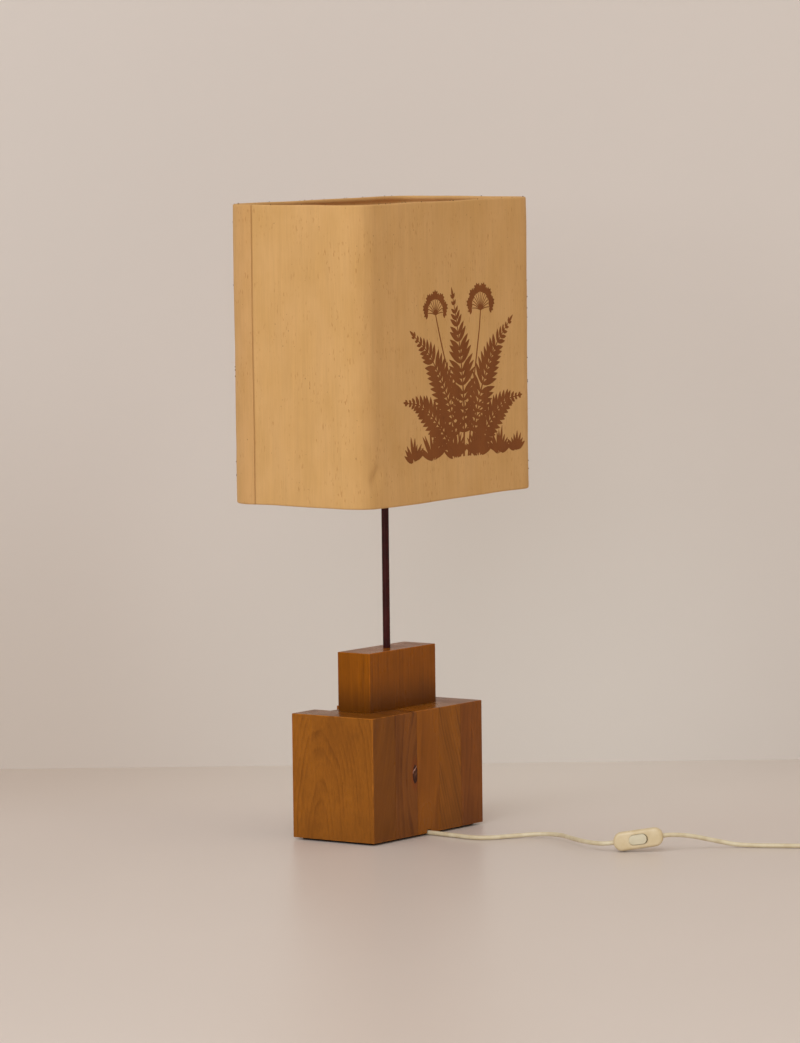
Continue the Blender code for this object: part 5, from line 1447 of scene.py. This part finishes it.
@dataclass(frozen=True)
class ShadePrint:
    """A flat one-colour print of garden plants on the front of the cloth."""

    cover: ShadeCover
    foot: float = 0.513
    thickness: float = 0.00006

    def leaf(self, shape: BMesh, place: Pair, angle: float, length: float, width: float,
             steps: int = 14) -> None:
        """Adds one pointed leaf that starts at a place and lies at an angle."""
        made = bmesh.ops.create_circle(shape, cap_ends=True, segments=steps, radius=0.5)["verts"]
        turn = Matrix.Rotation(-angle, 3, "Y")
        for vert in made:
            share = vert.co.x + 0.5
            belly = math.sin(math.pi * min(1.0, share ** 0.8)) ** 0.85 if 0.0 < share < 1.0 else 0.0
            side = 1.0 if vert.co.y >= 0 else -1.0
            flat = Vector((share * length, 0.0, side * belly * width / 2 if abs(vert.co.y) > 1e-5 else 0.0))
            vert.co = turn @ flat + Vector((place[0], 0.0, place[1]))

    def stalk(self, shape: BMesh, points: Sequence[Vector], thick: float, thin: float) -> None:
        """Adds one stalk along points, from a thick foot to a thin tip."""
        left, right = [], []
        for index, point in enumerate(points):
            ahead = points[min(index + 1, len(points) - 1)] - points[max(index - 1, 0)]
            aside = Vector((-ahead.z, 0.0, ahead.x)).normalized()
            half = (thick + (thin - thick) * index / (len(points) - 1)) / 2
            left.append(shape.verts.new(point + aside * half))
            right.append(shape.verts.new(point - aside * half))
        for k in range(len(points) - 1):
            shape.faces.new((left[k], right[k], right[k + 1], left[k + 1]))

    def frond(self, shape: BMesh, knots: Sequence[Pair], thick: float, pairs: int, length: float,
              width: float) -> None:
        """Adds a fern's frond: a bent rib with pairs of leaflets that are longest near its middle."""
        points = smooth_route([(x, 0.0, z) for x, z in knots], 0.003)
        self.stalk(shape, points, thick, thick * 0.3)
        for number in range(pairs):
            share = 0.16 + 0.82 * number / (pairs - 1)
            index = min(len(points) - 2, int(share * (len(points) - 1)))
            ahead = points[index + 1] - points[index]
            heading = math.atan2(ahead.z, ahead.x)
            scale = max(0.22, math.sin(math.pi * (0.14 + 0.84 * share ** 0.85)))
            for side in (-1, 1):
                place = (points[index].x, points[index].z)
                self.leaf(shape, place, heading + side * (1.18 - 0.50 * share), length * scale,
                          width * min(1.0, 0.30 + 0.9 * scale))
        tip = points[-1] - points[-4]
        self.leaf(shape, (points[-3].x, points[-3].z), math.atan2(tip.z, tip.x), length * 0.42, width * 0.5)

    def seed_head(self, shape: BMesh, knots: Sequence[Pair], thick: float, rays: int, reach: float,
                  bead: float) -> None:
        """Adds a stalk that ends in a fan of rays with a round seed on each."""
        points = smooth_route([(x, 0.0, z) for x, z in knots], 0.006)
        self.stalk(shape, points, thick, thick * 0.5)
        crown = points[-1]
        for number in range(rays):
            angle = math.radians(8 + 164 * number / (rays - 1))
            size = reach * (0.86 + 0.14 * math.sin(angle) + (0.0 if number % 2 else -0.12))
            end = crown + Vector((math.cos(angle), 0.0, math.sin(angle))) * size
            bow = crown.lerp(end, 0.5) + Vector((0.0, 0.0, size * 0.06))
            self.stalk(shape, smooth_route([crown, bow, end], 0.006), thick * 0.42, thick * 0.30)
            for petal in range(5):
                self.leaf(shape, (end.x, end.z), angle + math.radians(-80 + 40 * petal), bead, bead * 0.62, 10)

    def tuft(self, shape: BMesh, x: float, blades: int, height: float, draw: Random) -> None:
        """Adds a tuft of grass blades that fan out from one place."""
        for number in range(blades):
            angle = math.radians(28 + 124 * number / (blades - 1)) + draw.uniform(-0.06, 0.06)
            size = height * (0.62 + 0.38 * math.sin(angle)) * draw.uniform(0.8, 1.1)
            start = (x + (number - blades / 2) * -0.0011, self.foot + draw.uniform(-0.002, 0.002))
            self.leaf(shape, start, angle, size, 0.0062)

    def build(self) -> Object:
        """Draws the plants and lays them on the cloth."""
        draw = Random(11)
        shape = bmesh.new()
        foot = self.foot
        for knots, pairs, length in (
                ([(0.010, foot), (-0.026, 0.556), (-0.070, 0.586), (-0.103, 0.592)], 15, 0.030),
                ([(0.018, foot), (-0.004, 0.585), (-0.044, 0.648), (-0.086, 0.682)], 19, 0.036),
                ([(0.030, foot), (0.030, 0.590), (0.022, 0.664), (0.006, 0.732)], 19, 0.038),
                ([(0.044, foot), (0.066, 0.588), (0.102, 0.652), (0.142, 0.692)], 19, 0.036),
                ([(0.052, foot), (0.088, 0.554), (0.130, 0.582), (0.164, 0.588)], 15, 0.029)):
            self.frond(shape, knots, 0.0042, pairs, length, 0.0088)
        self.seed_head(shape, [(0.022, foot), (0.010, 0.590), (-0.018, 0.660), (-0.034, 0.706)], 0.0036, 11, 0.025,
                       0.0085)
        self.seed_head(shape, [(0.040, foot), (0.052, 0.600), (0.066, 0.670), (0.072, 0.708)], 0.0036, 13, 0.029,
                       0.0090)
        for x, blades, height in ((-0.085, 9, 0.030), (-0.040, 11, 0.040), (0.010, 12, 0.036), (0.064, 13, 0.044),
                                  (0.112, 11, 0.034), (0.152, 8, 0.026)):
            self.tuft(shape, x, blades, height, draw)
        bmesh.ops.remove_doubles(shape, verts=shape.verts, dist=MERGE)
        levels = {}
        for face in shape.faces:
            for vert in face.verts:
                levels.setdefault(vert, 0.00009 + 0.00005 * ((face.index * 7919) % 13) / 13)
        self.cover.on_front(shape, lambda vert: levels[vert])
        for face in shape.faces:
            if face.normal.y > 0:
                face.normal_flip()
        shape.normal_update()
        bmesh.ops.solidify(shape, geom=shape.faces[:], thickness=self.thickness)
        return mesh_piece("shade_print", shape, PRINT_INK, Body.SHADE, crease=30.0)


@dataclass(frozen=True)
class ShadeFluff:
    """Loose fibres and small dark pills that stand off the cloth along its edges and corners."""

    cover: ShadeCover
    count: int = 150
    radius: float = 0.00010
    corner_pills: int = 9
    rim_pills: int = 34

    def pills(self) -> Object:
        """Makes the pills, most of them at two of the corners and on the upper edge."""
        draw = Random(23)
        outline, cover = self.cover.outline, self.cover
        corner = outline.width / 2 - outline.corner - outline.seam + 0.0379
        places = []
        for start in (corner, corner + outline.around / 2):
            places += [(start + draw.uniform(-0.004, 0.004),
                        draw.uniform(cover.bottom + 0.004, cover.top - 0.004), 0.0)
                       for _ in range(self.corner_pills)]
        places += [(draw.uniform(0.0, outline.around), cover.top - 0.0002, draw.uniform(0.001, 0.004))
                   for _ in range(self.rim_pills)]
        shape = bmesh.new()
        for run, height, inset in places:
            point, outward = outline.at(run)
            centre = Vector((point.x, point.y, height + cover.edge_lift(run, height)))
            centre += outward * (cover.relief(run, height) - inset)
            size = Vector([draw.uniform(0.0005, 0.0011) for _ in range(3)])
            bmesh.ops.create_icosphere(shape, subdivisions=2, radius=1.0,
                                       matrix=Matrix.Translation(centre) @ Matrix.Diagonal((*size, 1.0)))
        return mesh_piece("shade_pills", shape, PILL, Body.SHADE, crease=60.0)

    def build(self) -> Object:
        """Makes the pills, and the fibres as thin bent threads that start in the cloth."""
        self.pills()
        draw = Random(5)
        shapes = []
        outline = self.cover.outline
        for _ in range(self.count):
            run = draw.uniform(0.0, outline.around)
            height = draw.choice((draw.uniform(self.cover.bottom, self.cover.top), self.cover.top - 0.001,
                                  draw.uniform(self.cover.bottom, self.cover.top)))
            point, outward = outline.at(run)
            start = Vector((point.x, point.y, height)) + outward * (self.cover.relief(run, height) - 0.0002)
            reach = draw.uniform(0.0012, 0.0042)
            lean = Vector((draw.uniform(-1, 1), draw.uniform(-1, 1), draw.uniform(-1.2, 1.2))).normalized() * reach
            middle = start + outward * reach * 0.5 + lean * 0.3
            end = start + outward * reach * draw.uniform(0.4, 0.9) + lean * 0.8
            shapes.append(tube(smooth_route([start, middle, end], reach / 3), self.radius, 4))
        return mesh_piece("shade_fibres", joined(*shapes), SHADE_CLOTH, Body.SHADE)


@dataclass(frozen=True)
class ShadeFrame:
    """The wires, arms and fitter ring that hold the cloth."""

    radius: float = 0.0016
    outline: ShadeOutline = field(default_factory=ShadeOutline)
    bottom: float = 0.4585
    inset: float = 0.00305
    seat: float = 0.5168
    fitter: Point = (0.0203, 0.0265, 0.0022)

    def arm(self, half: float, turn: int) -> BMesh:
        """One bent arm from the lower wire to the fitter ring, with a blob of weld at its ends."""
        _, reach, thickness = self.fitter
        low, high = self.bottom + self.inset, self.seat + thickness / 2
        clear, inner = self.inset + self.radius * 0.6, reach - 0.0004
        outer = half - clear
        knots = [(outer, 0.0, low), (outer - 0.008, 0.0, low + 0.0006), (outer - 0.014, 0.0, low + 0.004),
                 (inner + 0.014, 0.0, high - 0.004), (inner + 0.008, 0.0, high - 0.0006), (inner, 0.0, high)]
        points = smooth_route(knots, 0.003)
        swell = [self.radius * (1.0 + 0.35 * max(0.0, 1.0 - min(k, len(points) - 1 - k) / 2)) for k in
                 range(len(points))]
        return placed(tube(points, swell, 16), Matrix.Rotation(turn * math.pi / 2, 4, "Z"))

    def build(self, nodes: dict[str, Object]) -> None:
        """Makes the arms and the fitter ring, and dresses the wires in the hems."""
        for turn, half in enumerate((self.outline.length / 2, self.outline.width / 2) * 2):
            number = turn + 1
            mesh_piece("frame_arm_%d" % number, self.arm(half, turn), WIRE_PAINT, Body.SHADE,
                       ["shade_arm_%d" % number])
        bore, reach, thickness = self.fitter
        ease = 0.0004
        low, high = self.seat, self.seat + thickness
        ring = [(bore, high - ease), (bore + ease, high), (reach - ease, high), (reach, high - ease),
                (reach, low + ease), (reach - ease, low), (bore + ease, low), (bore, low + ease)]
        mesh_piece("fitter_ring", turned(ring, 96, True), WIRE_PAINT, Body.SHADE, ["shade_fitter_ring"], 30.0)
        for name in ("shade_top_wire", "shade_bottom_wire"):
            dress(nodes[name], WIRE_PAINT.material())


@dataclass(frozen=True)
class InlineSwitch:
    """The switch in the cord: two shells, a rocker between them and what is inside."""

    centre: Point = (0.0142, -0.3962, 0.0164)
    heading: float = math.radians(-58)
    rise: float = math.radians(8)
    lean: float = math.radians(4)
    length: float = 0.066
    width: float = 0.025
    depth: float = 0.009
    corner: float = 0.0115
    edge: float = 0.0040
    wall: float = 0.0018
    entry: float = 0.004
    pivot: float = 0.0055
    tilt: float = math.radians(8)
    cord: float = 0.003
    window: Point = (0.0248, 0.0140, 0.0066)
    lip: Point = (0.0264, 0.0156, 0.0074)
    rocker_size: Point = (0.0236, 0.0132, 0.0061)
    rocker_heights: Pair = (0.0030, 0.0110)
    dish: Pair = (0.0018, 0.0118)
    screws: tuple[Pair, ...] = ((-0.0215, 0.0070), (0.0215, -0.0070))

    def place(self) -> Matrix:
        """The switch's own axes: X along the cord, Z out of the rocker's face."""
        level = Vector((math.cos(self.heading), math.sin(self.heading), 0.0))
        along = level * math.cos(self.rise) + WORLD_UP * math.sin(self.rise)
        outward = Vector((level.y, -level.x, 0.0))
        face = outward * math.cos(self.lean) + outward.cross(along) * math.sin(self.lean)
        axes = Matrix((along, face.cross(along), face)).transposed().to_4x4()
        return Matrix.Translation(self.centre) @ axes

    def point(self, along: float) -> Vector:
        """A point on the switch's long axis."""
        return self.place() @ Vector((along, 0.0, 0.0))

    def shell(self, upper: bool) -> BMesh:
        """One half of the case, hollow, with openings for the cord and for the rocker or the screws."""
        depth, wall, gap = self.depth, self.wall, 0.0003
        low, high = (gap / 2, depth) if upper else (-depth, -gap / 2)
        body = rounded_block(self.length, self.width, low, high, self.corner, self.edge if upper else 0.0004,
                             0.0004 if upper else self.edge, 12)
        cutters = [rounded_block(self.length - 2 * wall, self.width - 2 * wall, wall - depth, depth - wall,
                                 self.corner - wall, 0.0, 0.0, 8)]
        passage = turned([(0.0, -self.length), (self.cord + gap, -self.length), (self.cord + gap, self.length),
                          (0.0, self.length)], 32)
        cutters.append(placed(passage, Matrix.Rotation(math.pi / 2, 4, "Y")))
        if upper:
            length, width, corner = self.window
            cutters.append(rounded_block(length, width, depth - 2 * wall, depth + 0.002, corner, steps=12))
            length, width, corner = self.lip
            lip = rounded_block(length, width, depth - 0.0008, depth + 0.0003, corner, 0.00025, steps=12)
            body = carved(body, [lip], "UNION")
        else:
            for x, y in self.screws:
                hole = turned([(0.0, 0.0), (0.0027, 0.0), (0.0027, -depth - 0.002), (0.0, -depth - 0.002)], 24)
                cutters.append(placed(hole, Matrix.Translation((x, y, 0.0))))
        return carved(body, cutters)

    def rocker(self) -> BMesh:
        """The rocker: an oval with a dished face and rounded rims, tilted towards the lamp."""
        low, high = self.rocker_heights[0] - self.pivot, self.rocker_heights[1] - self.pivot
        length, width, corner = self.rocker_size
        shape = rounded_block(length, width, low, high, corner, 0.0, 0.0006, 12)
        bmesh.ops.subdivide_edges(shape, edges=[edge for edge in shape.edges if abs(
            edge.verts[0].co.x - edge.verts[1].co.x) > 0.006], cuts=15, use_grid_fill=True)
        bmesh.ops.triangulate(shape, faces=[face for face in shape.faces if len(face.verts) > 4])
        top = [edge for edge in shape.edges if all(abs(vert.co.z - high) < MERGE for vert in edge.verts)
               and any(abs(face.normal.z) < 0.5 for face in edge.link_faces)]
        eased(shape, top, 0.0007, 3)
        for vert in shape.verts:
            if vert.co.z > 0:
                share = abs(vert.co.x) / self.dish[1]
                vert.co.z -= self.dish[0] * (1.0 - share * share)
        return placed(shape, Matrix.Translation((0.0, 0.0, self.pivot)) @ Matrix.Rotation(-self.tilt, 4, "Y"))

    def screw(self) -> BMesh:
        """A small pan-headed screw that points up into the case, with a slot."""
        head, low = 0.0023, -self.depth + self.wall + 0.0004 - 0.0018
        body = turned([(0.0, self.depth - 0.0035), (0.0011, self.depth - 0.0035), (0.0011, low + 0.0015),
                       (head, low + 0.0015), (head, low + 0.0006), (head * 0.8, low + 0.0001), (0.0, low)], 32)
        slot = rounded_block(0.0060, 0.0006, low - 0.001, low + 0.0007, 0.0002, steps=2)
        return carved(body, [slot])

    def build(self, nodes: dict[str, Object]) -> list[str]:
        """Makes the case, the rocker and the screws, and dresses what is inside.

        Returns:
            The names of all the pieces on the cord.
        """
        place = self.place()
        names = []
        for upper, title, node in ((False, "switch_back_shell", "switch_lower_shell"),
                                   (True, "switch_front_shell", "switch_upper_shell")):
            mesh_piece(title, placed(self.shell(upper), place), SWITCH_SHELL, Body.LAMP, [node], 28.0)
            names.append(title)
        mesh_piece("rocker_cap", placed(self.rocker(), place), ROCKER_FACE, Body.ROCKER, ["switch_rocker"], 28.0)
        names.append("rocker_cap")
        for number, (x, y) in enumerate(self.screws, 1):
            title = "switch_case_screw_%d" % number
            mesh_piece(title, placed(self.screw(), place @ Matrix.Translation((x, y, 0.0))), ZINC, Body.LAMP,
                       ["switch_screw_%d" % number], 30.0)
            names.append(title)
        for name in ("switch_bridge", "switch_contact_1", "switch_contact_2"):
            dress(nodes[name], BRASS.material())
        dress(nodes["switch_pivot"], ZINC.material())
        return names + ["switch_bridge", "switch_contact_1", "switch_contact_2", "switch_pivot"]


@dataclass(frozen=True)
class Coil:
    """The put-away cord, wound in two layers of loops, in and out again."""

    centre: Pair = (0.2178, -0.5875)
    start_angle: float = math.radians(-144.3)
    radius: float = 0.042
    pitch: float = 0.0066
    layer: float = 2.375
    climb: float = 0.5
    low: float = 0.0040
    steps: int = 36

    @property
    def turns(self) -> float:
        """How many turns it makes in all."""
        return 2 * self.layer + self.climb

    def point(self, turns: float) -> Vector:
        """The centre line after a number of turns."""
        inward = min(turns, self.turns - turns)
        reach = self.radius - self.pitch * inward
        share = min(max((turns - self.layer) / self.climb, 0.0), 1.0)
        height = self.low + self.pitch * share * share * (3 - 2 * share)
        angle = self.start_angle + math.tau * turns
        return Vector((self.centre[0] + reach * math.cos(angle), self.centre[1] + reach * math.sin(angle), height))

    def heading(self, turns: float) -> Vector:
        """The level direction in which the cord runs there."""
        angle = self.start_angle + math.tau * turns
        return Vector((-math.sin(angle), math.cos(angle), 0.0))


@dataclass(frozen=True)
class SupplyCord:
    """The cord from the base to the switch, and from the switch through its coil to the plug."""

    switch: InlineSwitch
    coil: Coil = field(default_factory=Coil)
    radius: float = 0.003
    exit: Point = (0.0, -0.0673, 0.0033)
    straight: float = 0.009
    plug_run: float = 0.032
    plug_height: float = 0.0137 / 2 + 0.0003
    inside: tuple[Point, ...] = (
        (0.0, -0.0670, 0.0033), (0.0, -0.0650, 0.0033), (0.0, -0.0610, 0.0044), (0.0, -0.0550, 0.0071),
        (0.0, -0.0505, 0.0083), (0.0, -0.0460, 0.0094), (0.0, -0.0400, 0.0112), (0.0, -0.0260, 0.0160),
        (0.0, -0.0130, 0.0235), (0.0, -0.0035, 0.0350), (0.0, -0.0003, 0.0470), (0.0, 0.0, 0.0600),
        (0.0, 0.0, 0.4890),
    )
    lead: tuple[Point, ...] = (
        (0.0, -0.0673, 0.0033), (-0.0003, -0.0765, 0.0032), (-0.0018, -0.0905, 0.0031),
        (-0.0048, -0.1190, 0.0031), (-0.0076, -0.1395, 0.0031), (-0.0050, -0.1560, 0.0031),
        (0.0060, -0.1687, 0.0031), (0.0220, -0.1795, 0.0034), (0.0365, -0.1925, 0.0041),
        (0.0472, -0.2085, 0.0053), (0.0502, -0.2290, 0.0066), (0.0436, -0.2518, 0.0077),
        (0.0241, -0.2800, 0.0088), (0.0050, -0.3090, 0.0095), (-0.0056, -0.3335, 0.0097),
        (-0.0083, -0.3525, 0.0100),
    )
    tail: tuple[Point, ...] = (
        (0.0463, -0.4396, 0.0211), (0.0641, -0.4506, 0.0179), (0.0818, -0.4617, 0.0128),
        (0.0970, -0.4742, 0.0082), (0.1083, -0.4889, 0.0046), (0.1211, -0.5106, 0.0032),
        (0.1337, -0.5355, 0.0031), (0.1483, -0.5637, 0.0031), (0.1654, -0.5883, 0.0034),
    )

    def lead_line(self) -> list[Vector]:
        """Centre line from the base to the switch."""
        entry = self.switch.length / 2 - self.switch.entry
        left = self.switch.point(-entry)
        before = self.switch.point(-entry - self.straight)
        return [*smooth_route([*self.lead, before], 0.005, after=left), left]

    def tail_line(self) -> tuple[list[Vector], Vector, Vector]:
        """Centre line from the switch to the plug, and the plug's start and heading."""
        entry = self.switch.length / 2 - self.switch.entry
        right = self.switch.point(entry)
        after = self.switch.point(entry + self.straight)
        coil, run = self.coil, 2 * self.radius
        start, end = coil.point(0.0), coil.point(coil.turns)
        start_way, end_way = coil.heading(0.0), coil.heading(coil.turns)
        tip = end + end_way * (run + self.plug_run)
        tip.z = self.plug_height
        near = start - start_way * (2 * run)
        loose = smooth_route([after, *self.tail, near], 0.005, before=right, after=start - start_way * run)
        count = round(coil.turns * coil.steps)
        wound = [coil.point(coil.turns * k / count) for k in range(count + 1)]
        last = smooth_route([end + end_way * run, end + end_way * (2 * run), tip - end_way * run, tip], 0.004)
        return [right, *loose, start - start_way * run, *wound, *last], tip, end_way

    def build(self, switch_names: Sequence[str], plug_names: Sequence[str]) -> None:
        inner = [Vector(self.inside[0]), *smooth_route(self.inside[1:], 0.006)]
        mesh_piece("cord_in_base", tube(inner, self.radius, 16), CORD_JACKET, Body.LAMP, ["cord_inside"], 50.0)
        lead = self.lead_line()
        first = mesh_piece("cord_to_switch", tube(lead, self.radius, 20), CORD_JACKET, Body.LAMP, ["cord_lead"],
                           50.0)
        tail, _, _ = self.tail_line()
        second = mesh_piece("cord_to_plug", tube(tail, self.radius, 20), CORD_JACKET, Body.LAMP,
                            ["cord_tail", "cord_coil", "cord_end"], 50.0)


@dataclass(frozen=True)
class Plug:
    """A flat two-pin plug with a ribbed strain relief."""

    width: float = 0.026
    height: float = 0.0137
    relief: float = 0.022
    length: float = 0.035
    pin_radius: float = 0.0020
    pin_length: float = 0.019
    pin_spacing: float = 0.0186

    def loft(self, sections: Sequence[tuple[float, float, float, float]], sides: int = 48) -> BMesh:
        """A body along X through rounded sections.

        Args:
            sections: place along X, half width, half height and squareness of each section.
            sides: faces round it.

        Returns:
            The closed body.
        """
        shape = bmesh.new()
        ring = bmesh.ops.create_circle(shape, cap_ends=True, segments=sides, radius=1.0,
                                       matrix=Matrix.Rotation(math.pi / 2, 4, "Y"))["verts"]
        angles = {vert: math.atan2(vert.co.z, vert.co.y) for vert in ring}
        edges = list(shape.edges)
        rings = [angles]
        for _ in sections[1:]:
            grown = bmesh.ops.extrude_edge_only(shape, edges=edges)["geom"]
            verts = [item for item in grown if isinstance(item, BMVert)]
            edges = [item for item in grown if isinstance(item, BMEdge)]
            rings.append({vert: math.atan2(vert.co.z, vert.co.y) for vert in verts})
        for (along, half_width, half_height, square), verts in zip(sections, rings):
            for vert, angle in verts.items():
                across, up = math.cos(angle), math.sin(angle)
                vert.co = (along, half_width * math.copysign(abs(across) ** (2 / square), across),
                           half_height * math.copysign(abs(up) ** (2 / square), up))
        bmesh.ops.edgeloop_fill(shape, edges=edges)
        return closed_up(shape)

    def body(self) -> BMesh:
        """The moulded body, from the strain relief's thin end to the front."""
        sections = [(0.0, 0.0034, 0.0034, 2.0)]
        ribs = 6
        for number in range(ribs):
            start = 0.0012 + number * 0.0030
            reach = 0.0037 + 0.0013 * number / (ribs - 1)
            sections += [(start, reach, reach, 2.0), (start + 0.0017, reach + 0.0001, reach + 0.0001, 2.0),
                         (start + 0.0019, reach - 0.0008, reach - 0.0008, 2.0),
                         (start + 0.0028, reach - 0.0008, reach - 0.0008, 2.0)]
        base, half, tall = self.relief, self.width / 2, self.height / 2
        sections += [(base - 0.0012, 0.0052, 0.0051, 2.1), (base, 0.0066, 0.0058, 2.4),
                     (base + 0.0014, 0.0076, 0.0063, 3.0), (base + 0.0060, 0.0100, 0.0066, 3.6),
                     (base + 0.0110, half - 0.0006, tall, 4.0), (base + 0.0150, half, tall, 4.2),
                     (base + 0.0300, half, tall, 4.2), (base + 0.0338, half - 0.0002, tall - 0.0001, 4.2),
                     (base + 0.0347, half - 0.0009, tall - 0.0008, 4.0),
                     (base + self.length, half - 0.0020, tall - 0.0018, 3.8)]
        return self.loft(sections)

    def pin(self, side: int) -> tuple[BMesh, BMesh]:
        """One pin and its insulating sleeve, along X."""
        front = self.relief + self.length
        tip = front + self.pin_length
        across = Matrix.Translation((0.0, side * self.pin_spacing / 2, 0.0)) @ Matrix.Rotation(math.pi / 2, 4, "Y")
        radius = self.pin_radius
        metal = [(0.0, front - 0.002), (0.0018, front - 0.002), (0.0018, front + 0.0098), (radius, front + 0.0102),
                 (radius, tip - 0.0014), (0.0016, tip - 0.0005), (0.0009, tip), (0.0, tip)]
        sleeve = [(0.0017, front - 0.002), (0.0020, front - 0.002), (0.0020, front + 0.0096),
                  (0.0019, front + 0.0099), (0.0017, front + 0.0099)]
        return placed(turned(metal, 32), across), placed(turned(sleeve, 32, True), across)

    def build(self, tip: Vector, heading: Vector) -> list[str]:
        """Makes the plug at the cord's end and returns the names of its pieces."""
        axes = Matrix((heading, WORLD_UP.cross(heading), WORLD_UP)).transposed().to_4x4()
        place = Matrix.Translation(tip) @ axes
        mesh_piece("plug_moulding", placed(self.body(), place), SWITCH_SHELL, Body.LAMP, ["plug_body"], 30.0)
        names = ["plug_moulding"]
        for number, side in enumerate((-1, 1), 1):
            metal, sleeve = self.pin(side)
            mesh_piece("plug_prong_%d" % number, placed(metal, place), NICKEL, Body.LAMP, ["plug_pin_%d" % number],
                       30.0)
            mesh_piece("plug_pin_sleeve_%d" % number, placed(sleeve, place), SLEEVE_BLACK, Body.LAMP, crease=30.0)
            names += ["plug_prong_%d" % number, "plug_pin_sleeve_%d" % number]
        return names


def main() -> None:
    """Loads the frame and builds the looks, one sub-assembly after the other."""
    logging.basicConfig(level=logging.INFO, format="%(name)s: %(message)s")
    for old in list(bpy.data.objects):
        bpy.data.objects.remove(old, do_unlink=True)
    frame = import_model()
    nodes = frame["nodes"]
    Studio().build()
    switch = InlineSwitch()
    cord = SupplyCord(switch)
    switch_names = switch.build(nodes)
    _, tip, heading = cord.tail_line()
    plug_names = Plug().build(tip, heading)
    cord.build(switch_names, plug_names)
    WoodenBase().build(nodes)
    Stem().build()
    Holder().build(nodes)
    LightBulb().build()
    ShadeFrame().build(nodes)
    cover = ShadeCover()
    cover.build()
    ShadePrint(cover).build()
    ShadeFluff(cover).build()


if __name__ == "__main__":
    main()
